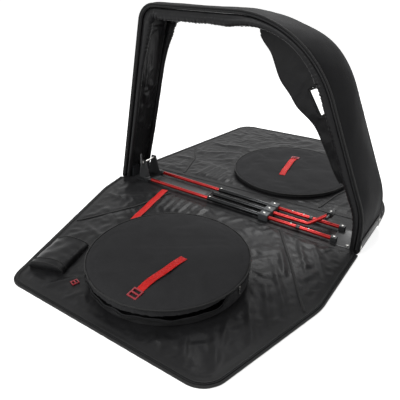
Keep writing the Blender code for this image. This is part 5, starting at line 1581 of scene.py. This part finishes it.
class ToolPouch(bpy.types.Operator):
    """Padded tunnel pouch at the front panel's rear corner, with its buckle beside it"""

    bl_idname = "travel_bag.tool_pouch"
    bl_label = "Tool pouch"

    def execute(self, context):
        half, tall, wall = 0.080, 0.044, 0.005
        turns = np.linspace(0, math.pi, 40)
        long = np.linspace(-0.1025, 0.1025, 46)
        turn, run = np.meshgrid(turns, long, indexing="ij")
        sink = 0.80 + 0.20 * swell(run - 0.06, 0.08) + 0.04 * uneven(turn * 0.06, run, 0.07, 121)
        bulge = 0.0020 * uneven(turn * 0.07, run, 0.055, 123)
        across = np.cos(turn) * (half + bulge * 0.4)
        height = np.sin(turn) ** 0.7 * (tall * sink + bulge)
        outer, inner = (
            self.turned(across * shrink, run, np.maximum(height - thick, 0))
            for shrink, thick in ((1.0, 0.0), (1 - wall / half, wall * np.sin(turn) ** 0.3)))
        pouch = slab_piece("padded_tool_pouch", outer, inner, lining_nylon())
        soften(pouch)
        stand_in(pouch, "front_panel", "lining_nylon", "tool_pouch")
        self.end_flap(outer)
        buckle = ladder_buckle("small_ladder_buckle", 0.030, 0.026, 0.0048, crimson_acetal())
        x, y, _ = middle_of("pouch_buckle")
        place_mesh(buckle, facing((0.3, 1, 0), (0, 0, 1)), (x, y, 0.0158))
        stand_in(buckle, "front_panel", "red_buckle", "pouch_buckle")
        return {"FINISHED"}

    def turned(self, across, along, height):
        """Points of the pouch at its place on the panel, turned a little from the bag's length."""
        x, y = POUCH_PLACE
        x = x + across * math.cos(POUCH_TURN) + along * math.sin(POUCH_TURN)
        y = y + across * math.sin(POUCH_TURN) - along * math.cos(POUCH_TURN)
        return np.stack((x, y, PANEL_TOP + 0.0005 + height), axis=2)

    def end_flap(self, shell):
        """The flap sewn into the pouch's near end, and the hems round both its ends."""
        arch = shell[:, -1]
        floor = np.stack((arch[:, 0], arch[:, 1], np.full(len(arch), PANEL_TOP + 0.0008)), axis=1)
        share = np.linspace(0.05, 1, 10)[None, :, None]
        grid = arch[:, None, :] * (1 - share) + floor[:, None, :] * share
        out = (shell[:, -1] - shell[:, -2]).mean(axis=0)
        out /= np.linalg.norm(out)
        tall = (grid[..., 2] - PANEL_TOP) / 0.044
        grid = grid + out * (0.006 * np.sin(math.pi * np.clip(tall, 0, 1)) - 0.004)[:, :, None]
        turns, drop = np.meshgrid(travelled(arch), share.ravel() * 0.044, indexing="ij")
        flap = sheet_piece("pouch_end_flap", grid, np.stack((turns, drop), axis=2), lining_nylon())
        thicken(flap, 0.0016)
        stand_in(flap, "front_panel", "lining_nylon")
        for name, column in (("near", -1), ("inner", -7), ("far", 0)):
            path = shell[1:-1, column] + np.array((0.0, 0.0, 0.0004))
            bound_edge(f"pouch_{name}_hem", path, round_section(0.0022, 8), "front_panel", ways=out)


# The web's free edge and hole, as shares of the hoop's half length and of its height
WEB_EDGE = (
    (0.109, 0.907), (0.141, 0.857), (0.200, 0.826), (0.229, 0.766), (0.281, 0.681), (0.326, 0.657),
    (0.373, 0.621), (0.400, 0.578), (0.450, 0.560), (0.546, 0.511), (0.597, 0.446), (0.667, 0.358),
    (0.714, 0.291), (0.754, 0.257))
WEB_HOLE = ((0.473, 0.665), (0.540, 0.689), (0.623, 0.587), (0.571, 0.553))


class HandlebarWeb(bpy.types.Operator):
    """Soft web sewn inside the roof's sweep, with a bound hole for the handlebar"""

    bl_idname = "travel_bag.handlebar_web"
    bl_label = "Handlebar web"

    def execute(self, context):
        line, way, _ = hoop_span(0.006, 0.235)
        roof = line + way * 0.0160
        roof = roof[roof[:, 0] > 0.070]
        edge = smoothed(evenly(self.on_hoop(WEB_EDGE), 0.012), 12)
        rows, columns = 150, 42
        outer, inner = evenly(roof, count=rows), evenly(edge, count=rows)
        share = np.linspace(0, 1, columns)
        place = outer[:, None, :] + (inner - outer)[:, None, :] * share[None, :, None]
        rim, inside = self.hole(place)
        x, z = place[..., 0], place[..., 1]
        seam = rise(share, 0.02, 0.25)[None, :]
        belly = 0.0022 * uneven(x, z, 0.13, 131) * seam + 0.0010 * uneven(x, z, 0.045, 133) * seam
        pull = 0.0030 * stroke(x, z, (0.30, 0.80), (0.38, 0.66), 0.02)
        grid = sagged(np.stack((x, belly + pull, z), axis=2))
        faces = [face for face in grid_faces(rows, columns) if not any(inside[i] for i in face)]
        web = mesh_piece("handlebar_cloth", grid, faces, lining_nylon(), place, outward=False)
        drop_loose(web)
        thicken(web, 0.0095, offset=0.0)
        stand_in(web, "bag", "lining_nylon", "handlebar_web")
        section = round_section(0.0046, 10, 0.0066)
        for name, line, closed in (("hole", rim, True), ("edge", inner[3:], False)):
            path = sagged(upright(line, 0.0))
            bound_edge(f"web_{name}_binding", path, section, "bag", ways=(0, 1, 0), closed=closed)
        return {"FINISHED"}

    def on_hoop(self, places):
        """Places given as shares of the hoop's half length and of its height."""
        s = sizes()
        return np.array([(s.hoop_length / 2 * a, s.hoop_height * b) for a, b in places])

    def hole(self, place):
        """The handlebar hole's rim, and which points of the web lie inside it."""
        corners = self.on_hoop(WEB_HOLE)
        middle = corners.mean(axis=0)
        rim = evenly(np.vstack((corners, corners[:1])), count=81)[:-1]
        rim = smoothed(np.vstack((rim[-4:], rim, rim[:4])), 4)[4:-4]
        from_middle, offset = rim - middle, place - middle
        angle = np.arctan2(from_middle[:, 1], from_middle[:, 0])
        order = np.argsort(angle)
        around = np.arctan2(offset[..., 1], offset[..., 0])
        reach = np.linalg.norm(from_middle, axis=1)
        edge_at = np.interp(around, angle[order], reach[order], period=math.tau)
        return rim, (np.linalg.norm(offset, axis=2) < edge_at).ravel()


def drop_loose(piece):
    """Takes away points that no face uses."""
    shape = bmesh.new()
    shape.from_mesh(piece.data)
    loose = [v for v in shape.verts if not v.link_faces]
    bmesh.ops.delete(shape, geom=loose, context="VERTS")
    shape.to_mesh(piece.data)
    shape.free()
    piece.data.update()


class ForkEndPad(bpy.types.Operator):
    """Grey pad in the fork end with its red webbing and black buckle"""

    bl_idname = "travel_bag.fork_end_pad"
    bl_label = "Fork end pad"

    def execute(self, context):
        low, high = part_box("fork_end_pad")
        zs = np.linspace(low[2], high[2], 34)
        ys = np.linspace(low[1], high[1], 26)
        z, y = np.meshgrid(zs, ys, indexing="ij")
        edge = np.minimum(np.minimum(z - low[2], high[2] - z), np.minimum(y - low[1], high[1] - y))
        fat = 0.0175 * np.sqrt(np.clip(edge / 0.014, 0, 1)) * (0.93 + 0.07 * uneven(y, z, 0.06, 141))
        fat *= 1 - 0.22 * swell(z - (low[2] + high[2]) / 2, 0.004)
        line, way, _ = hoop_span(0.006, low[2] - 0.004)
        fork = line[:, 0] > 0.4
        wall_x = np.interp(z, line[fork][::-1, 1], (line[fork] + way[fork] * 0.0229)[::-1, 0])
        face = np.stack((wall_x - fat, y, z), axis=2)
        back = np.stack((wall_x, y, z), axis=2)
        pad = slab_piece("fork_end_padding", face, back, pad_nylon())
        uv_from(pad, 1, 2)
        soften(pad)
        stand_in(pad, "bag", "grey_pad", "fork_end_pad")
        low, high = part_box("anchor_strap")
        x, y, _ = middle_of("anchor_strap")
        share = np.linspace(0, 1, 12)
        upward = low[2] + share * (high[2] - low[2])
        path = np.stack((x - 0.0004 - 0.0012 * np.sin(3 * share), y + 0.002 * share, upward), axis=1)
        strap = strap_piece("anchor_webbing", path, 0.024, 0.0024, webbing(), ways=(-1, 0, 0))
        stand_in(strap, "bag", "red_webbing", "anchor_strap")
        buckle = ladder_buckle("anchor_ladder_buckle", 0.034, 0.034, 0.0044, black_acetal())
        centre_on(buckle, facing((0, 0, 1), (-1, 0, 0)), "anchor_buckle")
        stand_in(buckle, "bag", "black_buckle", "anchor_buckle")
        return {"FINISHED"}


def uv_from(piece, first, second):
    """Lays the weave map of an upright piece along two of its axes."""
    layer = piece.data.uv_layers["weave"]
    for loop in piece.data.loops:
        point = piece.data.vertices[loop.vertex_index].co
        layer.data[loop.index].uv = (point[first], point[second])


def stand_bar(node, name, radius):
    """A round bar over a solid of the stand, from its rear end to its fork end."""
    low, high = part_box(node)
    y = middle_of(node)[1]
    return round_bar(name, (low[0], y, STAND_Z), (high[0], y, STAND_Z), radius)


def red_tube(node, name, body, mouth):
    """A red tube over its solid, hollow at its mouth, which is the end that looks towards the block."""
    tube = stand_bar(node, name, TUBE_RADIUS)
    step_face(tube, (mouth, 0, 0), ((0.0015, -0.004),))
    stand_in(finish_rigid(tube, red_anodised(), 0.0005), body, "red_tube", node)


def socket(name, x, y, body, long=0.018):
    """A black socket round a red tube, hollow at both its mouths."""
    made = round_bar(name, (x, y, STAND_Z), (x + long, y, STAND_Z), SOCKET_RADIUS)
    step_both(made, (1, 0, 0), ((0.0, 0.0), (0.0014, -0.0014)))
    stand_in(finish_rigid(made, black_acetal(), 0.0009), body, "black_steel")


def steel_block(name, low, high, steps, bevel, segments=2):
    """A painted steel plate or lug, its top face stepped."""
    made = block(name, low, high)
    step_face(made, (0, 0, 1), steps)
    return finish_rigid(made, black_steel(), bevel, segments)


class StandRails(bpy.types.Operator):
    """Three black rails in their clamped block, with the red tubes and the dark plate of the rear end"""

    bl_idname = "travel_bag.stand_rails"
    bl_label = "Stand rails"

    def execute(self, context):
        for name in ("front", "middle", "rear"):
            node = f"rail_{name}"
            rail = stand_bar(node, f"{name}_rail", RAIL_RADIUS)
            tunnel(rail, (1, 0, 0), 0.0022)
            stand_in(finish_rigid(rail, black_anodised(), 0.0006), "bag", "black_rail", node)
            if name != "middle":
                place = (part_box(node)[0][0] + 0.012, middle_of(node)[1], STAND_Z + 0.0116)
                screw(f"{name}_rail_end_screw", place, 0.0048, 0.0022, "bag")
        self.clamp()
        for name in ("front", "rear"):
            node = f"tube_{name}_left"
            red_tube(node, f"{name}_left_red_tube", "bag", 1)
            socket(f"{name}_left_socket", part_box(node)[0][0], middle_of(node)[1], "bag")
        steps = ((0.007, 0.0), (0.0, -0.0012), (0.012, 0.0), (0.0, 0.0010))
        plate = steel_block("rear_stand_plate", *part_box("stand_plate"), steps, 0.0004)
        stand_in(plate, "bag", "black_steel", "stand_plate")
        return {"FINISHED"}

    def clamp(self):
        """The block: cut between its bores, so that each rail has its own saddle and screw."""
        low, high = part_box("rail_bracket")
        top = high[2] - 0.0047
        made = block("rail_clamp_block", low, (high[0], high[1], top))
        cuts = (-0.095, -0.085, -0.037, -0.027)
        for y in cuts:
            cut(made, (0, y, 0), (0, 1, 0))
        for start, end in (cuts[:2], cuts[2:]):
            step_face(made, (0, 0, 1), ((0.0, -0.0065),), lambda middle: start < middle.y < end)
        step_face(made, (0, 0, 1), ((0.004, 0.0), (0.0, 0.0012)), lambda middle: middle.z > top - 0.001)
        stand_in(finish_rigid(made, glass_filled_nylon(), 0.0016), "bag", "grey_bracket", "rail_bracket")
        for index, y in enumerate((FOOT_YS[0], ARM_Y, FOOT_YS[1])):
            place = (middle_of("rail_bracket")[0], y, top + 0.0010)
            screw(f"clamp_screw_{index}", place, 0.0060, 0.0036, "bag")


class StandExtension(bpy.types.Operator):
    """Red tubes that slide in the rails, with the foot plate at their ends"""

    bl_idname = "travel_bag.stand_extension"
    bl_label = "Stand extension"

    def execute(self, context):
        body = "stand_extension"
        for name, sleeve, rivets in (("front", 0.391, (0.363, 0.452)), ("rear", 0.410, (0.320, 0.380))):
            node = f"tube_{name}_right"
            red_tube(node, f"{name}_right_red_tube", body, -1)
            y = middle_of(node)[1]
            socket(f"{name}_right_socket", sleeve, y, body)
            for index, x in enumerate(rivets):
                screw(f"{name}_tube_rivet_{index}", (x, y, STAND_Z + 0.0091), 0.0036, 0.0016, body)
        self.foot(body)
        return {"FINISHED"}

    def foot(self, body):
        low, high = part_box("front_foot_plate")
        corner = (high[0], high[1], low[2] + 0.0030)
        pieces = [steel_block("foot_plate", low, corner, ((0.006, 0.0), (0.0, -0.0010)), 0.0005)]
        for index, y in enumerate(FOOT_YS):
            start, end = (low[0], y - 0.012, low[2] + 0.0015), (low[0] + 0.027, y + 0.012, LUG_TOP)
            steps = ((0.0045, 0.0), (0.0, -0.0012))
            pieces.append(steel_block(f"lug_{index}", start, end, steps, 0.0022, 3))
            for x, z, radius in (
                    (low[0] + 0.0135, 0.0391, 0.0052), (high[0] - 0.018, low[2] + 0.0022, 0.0055)):
                screw(f"foot_screw_{index}", (x, y, z), radius, 0.0032, body)
        stand_in(joined(*pieces), body, "black_steel", "front_foot_plate")


class ForkArm(bpy.types.Operator):
    """Bent red arm with the clamp and axle for the fork"""

    bl_idname = "travel_bag.fork_arm"
    bl_label = "Fork arm"

    def execute(self, context):
        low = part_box("fork_arm")[0]
        bend, rise_run, radius = 0.425, Vector((0.085, 0.055, 0.055)), 0.030
        turn = Vector((1, 0, 0)).angle(rise_run)
        tangent = radius * math.tan(turn / 2)
        first = bend - low[0] - tangent
        arm = round_bar("bent_red_arm", (0, 0, 0), (first, 0, 0), TUBE_RADIUS)
        choose(arm, lambda middle, normal: normal.x > 0.99)
        bpy.ops.mesh.spin(steps=8, angle=-turn, center=(first, radius, 0), axis=(0, 0, 1))
        reach = rise_run.length - tangent
        way = Vector((math.cos(turn), math.sin(turn), 0))
        bpy.ops.mesh.extrude_region_move(TRANSFORM_OT_translate={"value": way * reach})
        bpy.ops.mesh.select_all(action="SELECT")
        bpy.ops.mesh.remove_doubles(threshold=0.00001)
        bpy.ops.mesh.normals_make_consistent(inside=False)
        close_edit()
        side = Vector((0, rise_run.y, rise_run.z)).normalized()
        lean = Matrix((Vector((1, 0, 0)), side, Vector((1, 0, 0)).cross(side))).transposed()
        place_mesh(arm, lean, (low[0], ARM_Y, STAND_Z))
        stand_in(finish_rigid(arm, red_anodised(), 0.0), "fork_arm", "red_tube", "fork_arm")
        tip = Vector((bend, ARM_Y, STAND_Z)) + rise_run
        across = Vector((0, 1, 0))
        clamp = round_bar("fork_clamp", tip - across * 0.017, tip + across * 0.017, 0.015, 32)
        axle = round_bar("fork_axle", tip - across * 0.055, tip + across * 0.055, 0.0075, 24)
        step_both(clamp, across, ((0.003, 0.0), (0.0, -0.0015)))
        step_both(axle, across, ((0.0018, 0.0), (0.0, -0.006)))
        finish_rigid(clamp, black_steel(), 0.0010)
        finish_rigid(axle, black_steel(), 0.0007)
        stand_in(joined(clamp, axle), "fork_arm", "black_steel")
        screw("clamp_pinch_screw", tip + Vector((0, 0, 0.0142)), 0.0042, 0.0026, "fork_arm")
        socket("arm_socket", 0.222, ARM_Y, "fork_arm", 0.014)
        return {"FINISHED"}


class RearAxleStand(bpy.types.Operator):
    """Two cheeks on a plate, with the skewer, its nuts and the closing lever"""

    bl_idname = "travel_bag.rear_axle_stand"
    bl_label = "Rear axle stand"

    def execute(self, context):
        low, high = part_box("rear_axle_stand")
        x, y = (low[0] + high[0]) / 2, -0.0615
        skewer_z, cheek_top = low[2] + 0.105, low[2] + 0.118
        start, end = (low[0], -0.130, low[2]), (high[0], 0.007, low[2] + 0.003)
        pieces = [steel_block("axle_stand", start, end, ((0.006, 0.0), (0.0, -0.0008)), 0.0004)]
        for index, across in enumerate(FOOT_YS):
            start = (high[0] - 0.027, across - 0.012, low[2] + 0.0015)
            end = (high[0], across + 0.012, LUG_TOP)
            pieces.append(finish_rigid(block(f"stand_lug_{index}", start, end), black_steel(), 0.0022, 3))
        for index, across in enumerate((y - 0.044, y + 0.044)):
            start, end = (low[0], across - 0.0025, low[2] + 0.001), (high[0], across + 0.0025, cheek_top)
            cheek = block(f"cheek_{index}", start, end)
            squeeze(cheek, (0, 0, 1), (0.34, 1, 1), (x, across, cheek_top))
            step_both(cheek, (0, 1, 0), ((0.007, 0.0), (0.0, -0.0010)))
            pieces.append(finish_rigid(cheek, black_steel(), 0.0009))
        stand_in(joined(*pieces), "bag", "black_steel", "rear_axle_stand")
        ends = [(x, y + reach, skewer_z) for reach in (-0.0595, 0.0595)]
        parts = [finish_rigid(round_bar("axle_skewer", *ends, 0.0049, 20), bright_steel(), 0.0006)]
        for index, across in enumerate((y - 0.0515, y + 0.0465, y + 0.0535)):
            nut = round_bar(f"nut_{index}", (x, across, skewer_z), (x, across + 0.005, skewer_z), 0.0085, 6)
            parts.append(finish_rigid(nut, bright_steel(), 0.0007))
        stand_in(joined(*parts), "bag", "zip_metal")
        self.lever()
        return {"FINISHED"}

    def lever(self):
        """The closing lever: each step of its blade is drawn out of the one below and narrowed."""
        low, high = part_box("rear_axle_lever")
        x, y, _ = middle_of("rear_axle_lever")
        lever = block("closing_lever", (low[0], low[1], low[2]), (high[0], high[1], low[2] + 0.014))
        choose(lever, lambda middle, normal: normal.z > 0.99)
        for rise_by, share in ((0.020, 0.80), (0.018, 0.95), (0.009, 0.85), (0.004, 0.55)):
            bpy.ops.mesh.extrude_region_move(TRANSFORM_OT_translate={"value": (0, 0, rise_by)})
            bpy.ops.transform.resize(value=(share, 0.94, 1), center_override=(x, y, 0))
        close_edit()
        finish_rigid(lever, black_acetal(), 0.0014, 3)
        stand_in(lever, "rear_axle_lever", "black_steel", "rear_axle_lever")


class ZipSliders(bpy.types.Operator):
    """Four nickel sliders, each a body with its bridge and a pull with a hole"""

    bl_idname = "travel_bag.zip_sliders"
    bl_label = "Zip sliders"

    def execute(self, context):
        made = block("slider", (-0.0045, -0.0060, -0.0020), (0.0045, 0.0060, 0.0006))
        neck, hole = -0.006, -0.0195
        squeeze(made, (0, -1, 0), (0.72, 1, 0.85), (0, neck, 0))
        step_face(made, (0, 0, 1), ((0.0028, 0.0), (0.0, 0.0014)))
        finish_rigid(made, nickel_zinc(), 0.0005)
        pull = block("pull", (-0.0030, -0.0280, -0.0007), (0.0030, neck, 0.0007))
        cut(pull, (0, hole, 0), (0, 1, 0))
        tunnel(pull, (0, 0, 1), 0.0014, lambda middle: middle.y < hole)
        squeeze(pull, (0, 1, 0), (0.55, 1, 1), (0, neck, 0))
        finish_rigid(pull, nickel_zinc(), 0.0004)
        slider = joined(made, pull)
        upright = Euler((math.pi / 2, 0, math.pi / 2)).to_matrix()
        askew = Matrix.Rotation(math.atan(sizes().setback / sizes().hoop_length), 3, "Z")
        turns = {
            "front_pocket_slider": upright,
            "back_pocket_slider": askew @ Euler((0, math.pi / 2, 0)).to_matrix(),
            "front_zip_slider": upright, "back_zip_slider": upright}
        for node, turn in turns.items():
            piece = twin(slider, node.replace("slider", "runner"), Matrix.Identity(3), (0, 0, 0))
            stand_in(centre_on(piece, turn, node), node, "zip_metal", node)
        bpy.data.objects.remove(slider)
        return {"FINISHED"}


class TransportWheels(bpy.types.Operator):
    """Two wheels with a rounded tread, a dished side and a hub, in their moulded housings"""

    bl_idname = "travel_bag.transport_wheels"
    bl_label = "Transport wheels"

    def execute(self, context):
        for name in ("front", "back"):
            x, y, z = middle_of(f"{name}_wheel")
            tread = round_bar(f"{name}_tread", (x, y - 0.012, z), (x, y + 0.012, z), 0.0300, 48)
            step_both(tread, (0, 1, 0), ((0.0045, 0.0), (0.0, -0.0020)))
            body = f"{name}_wheel"
            stand_in(finish_rigid(tread, wheel_rubber(), 0.0022, 4), body, "wheel_rubber", body)
            hub = round_bar(f"{name}_hub", (x, y - 0.0105, z), (x, y + 0.0105, z), 0.0250, 40)
            dish = ((0.004, -0.003), (0.009, 0.0), (0.0, 0.0145), (0.0072, 0.0), (0.0, -0.002))
            step_both(hub, (0, 1, 0), dish)
            stand_in(finish_rigid(hub, black_acetal(), 0.0006), body, "black_steel")
            repaint(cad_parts[f"{name}_wheel_housing"], black_acetal())
        return {"FINISHED"}


class GrabHandle(bpy.types.Operator):
    """Webbing handle with a wrapped grip on the rear end"""

    bl_idname = "travel_bag.grab_handle"
    bl_label = "Grab handle"

    def execute(self, context):
        s = sizes()
        lean = Vector((s.rear_lean, s.hoop_height)).normalized()
        out = Vector((-lean.y, lean.x))
        across = middle_of("rear_grab_handle")[1]
        foot = Vector((-s.hoop_length / 2 + s.rear_lean * HANDLE_HEIGHT / s.hoop_height, HANDLE_HEIGHT))
        foot += out * 0.0056
        path = []
        half = [(0.034, 0.0265), (0.050, 0.020), (0.066, 0.003), (0.080, 0.0022), (0.095, 0.002)]
        for along, off in [(-a, b) for a, b in half[::-1]] + [(0.0, 0.0285)] + half:
            spot = foot + lean * along + out * off
            path.append((spot.x, across, spot.y))
        bend = smoothed(np.array(path), 1)
        strap = strap_piece("handle_webbing", bend, 0.032, 0.0030, black_webbing(), ways=(out.x, 0, out.y))
        stand_in(strap, "bag", "binding_tape", "rear_grab_handle")
        grip_path = evenly(bend[3:8], count=14)
        swelling = 0.82 + 0.18 * np.sin(np.linspace(0, math.pi, 14)) ** 0.5
        ways, along = (out.x, 0, out.y), (lean.x, 0, lean.y)
        section = flat_section(0.040, 0.0085, 0.5)
        grip = tube_piece("handle_grip", grip_path, section, binding_tape(), ways, sizes_along=swelling)
        stand_in(grip, "bag", "binding_tape")
        for index, sign in enumerate((-1, 1)):
            spot = foot + lean * sign * 0.083 + out * 0.0036
            place = (spot.x, across, spot.y)
            stitch_box(f"handle_stitches_{index}", place, along, ways, 0.020, 0.026, sewing_thread(), "bag")
        return {"FINISHED"}


def stitch_box(name, middle, along, up, long, wide, thread, body):
    """A sewn rectangle with a cross in it, as stitches of thread."""
    middle, along, up = (np.array(v, float) for v in (middle, along, up))
    side = np.cross(up, along)
    corners = [middle + along * u * long / 2 + side * v * wide / 2 for u, v in SQUARE]
    legs = ((0, 1), (1, 2), (2, 3), (3, 0), (0, 2), (1, 3))
    rows = []
    for index, (start, end) in enumerate(legs):
        rows.append(stitches_mesh(f"{name}_{index}", (corners[start], corners[end]), up, thread))
    made = joined(*rows)
    made.name = name
    return stand_in(made, body, None)


def stitches_mesh(name, path, up, thread):
    """Raised stitches at an even pitch along a line."""
    pitch = sizes().stitch_pitch
    return teeth_mesh(name, path, up, pitch, (pitch * 0.68, 0.0011, 0.0008), thread)


# The camera that was solved from the photo
SENSOR, FOCAL_PIXELS, PHOTO_PIXELS = 36.0, 460.0, 400.0
CAMERA_PLACE = (1.068, -1.895, 1.174)
CAMERA_TURN = (math.radians(61.5), 0.0, math.radians(34.67))

# Soft lamps: name, place, size and power, all aimed at the bag's middle
LAMPS = (
    ("key", (-0.3, 1.7, 2.6), 0.9, 54.0), ("top", (-0.4, -2.6, 2.2), 1.4, 44.0),
    ("side", (3.0, -1.6, 1.2), 1.2, 10.0))
LAMP_AIM = (0.0, -0.2, 0.3)


class Stage(bpy.types.Operator):
    """Pale floor, plain backdrop, soft lamps and the camera"""

    bl_idname = "travel_bag.stage"
    bl_label = "Stage"

    def execute(self, context):
        scene = context.scene
        scene.view_settings.view_transform = "Standard"
        self.floor()
        self.sky(scene)
        self.lamps()
        data = bpy.data.cameras.new("camera")
        data.sensor_fit = "HORIZONTAL"
        data.sensor_width = SENSOR
        data.lens = SENSOR * FOCAL_PIXELS / PHOTO_PIXELS
        data.clip_end = 60.0
        camera = new_object("camera", data)
        camera.location = CAMERA_PLACE
        camera.rotation_euler = CAMERA_TURN
        scene.camera = camera
        return {"FINISHED"}

    def floor(self):
        mesh = bpy.data.meshes.new("floor")
        reach = 14.0
        corners = [(x * reach, y * reach, -0.0006) for x, y in SQUARE]
        mesh.from_pydata(corners, [], [(0, 1, 2, 3)])
        floor = new_object("floor", mesh)
        # Matt white board: it shows only the bag's soft shadow.
        made, tree, shader = new_material("white_floor_board")
        shader.inputs["Base Color"].default_value = (0.86, 0.86, 0.86, 1.0)
        shader.inputs["Roughness"].default_value = 0.9
        glow = add_node(tree, "Emission", {"Color": (1, 1, 1, 1), "Strength": 0.72})
        dark = add_node(tree, "Emission", {"Color": (0, 0, 0, 1), "Strength": 0.0})
        both = add_node(tree, "MixShader", {0: self.seen(tree), 1: dark, 2: glow})
        whole = add_node(tree, "AddShader", {0: shader, 1: both})
        out = next(n for n in tree.nodes if n.type == "OUTPUT_MATERIAL")
        tree.links.new(whole.outputs[0], out.inputs["Surface"])
        mesh.materials.append(made)

    def seen(self, tree):
        """1 for what the eye sees straight, in gloss or through glass, and 0 for the light on the bag."""
        path = add_node(tree, "LightPath")
        rays = [path.outputs[f"Is {kind} Ray"] for kind in ("Camera", "Glossy", "Transmission")]
        seen = add_node(tree, "Math", {0: rays[0], 1: rays[1]}, operation="MAXIMUM")
        return add_node(tree, "Math", {0: seen, 1: rays[2]}, operation="MAXIMUM")

    def sky(self, scene):
        world = bpy.data.worlds.new("studio")
        scene.world = world
        world.use_nodes = True
        tree = world.node_tree
        tree.nodes.clear()
        soft = add_node(tree, "Background", {"Color": (1, 1, 1, 1), "Strength": 0.32})
        white = add_node(tree, "Background", {"Color": (1, 1, 1, 1), "Strength": 1.0})
        both = add_node(tree, "MixShader", {0: self.seen(tree), 1: soft, 2: white})
        out = add_node(tree, "OutputWorld")
        tree.links.new(both.outputs[0], out.inputs["Surface"])

    def lamps(self):
        for name, place, size, power in LAMPS:
            data = bpy.data.lights.new(name, "AREA")
            data.size = size
            data.energy = power
            lamp = new_object(name, data)
            lamp.location = place
            aim = Vector(LAMP_AIM) - Vector(place)
            lamp.rotation_euler = aim.to_track_quat("-Z", "Y").to_euler()


OPERATORS = (
    Stage, HoopSkin, HoopLining, EdgeRolls, HoopEdges, BaseShell, BaseMat, SidePanels, WheelPockets,
    PocketLids, HubStraps, TieStrap, ToolPouch, HandlebarWeb, ForkEndPad, StandRails, StandExtension,
    ForkArm, RearAxleStand, ZipSliders, TransportWheels, GrabHandle)


class TravelBagPanel(bpy.types.Panel):
    """Sizes, colours and the pieces of the travel bag"""

    bl_idname = "VIEW3D_PT_travel_bag"
    bl_label = "Travel Bag"
    bl_space_type = "VIEW_3D"
    bl_region_type = "UI"
    bl_category = "Travel Bag"

    def draw(self, context):
        layout = self.layout
        for group, heading in ((sizes(), "Sizes"), (colours(), "Colours")):
            box = layout.box()
            box.label(text=heading)
            for name in group.__annotations__:
                box.prop(group, name)
        for operator in OPERATORS:
            layout.operator(operator.bl_idname)


CLASSES = (BagSizes, BagColours, *OPERATORS, TravelBagPanel)


def register():
    for made in CLASSES:
        bpy.utils.register_class(made)
    bpy.types.Scene.travel_bag_sizes = bpy.props.PointerProperty(type=BagSizes)
    bpy.types.Scene.travel_bag_colours = bpy.props.PointerProperty(type=BagColours)


def unregister():
    del bpy.types.Scene.travel_bag_colours
    del bpy.types.Scene.travel_bag_sizes
    for made in reversed(CLASSES):
        bpy.utils.unregister_class(made)


def main():
    register()
    for operator in OPERATORS:
        group, name = operator.bl_idname.split(".")
        getattr(getattr(bpy.ops, group), name)()


if __name__ == "__main__":
    main()
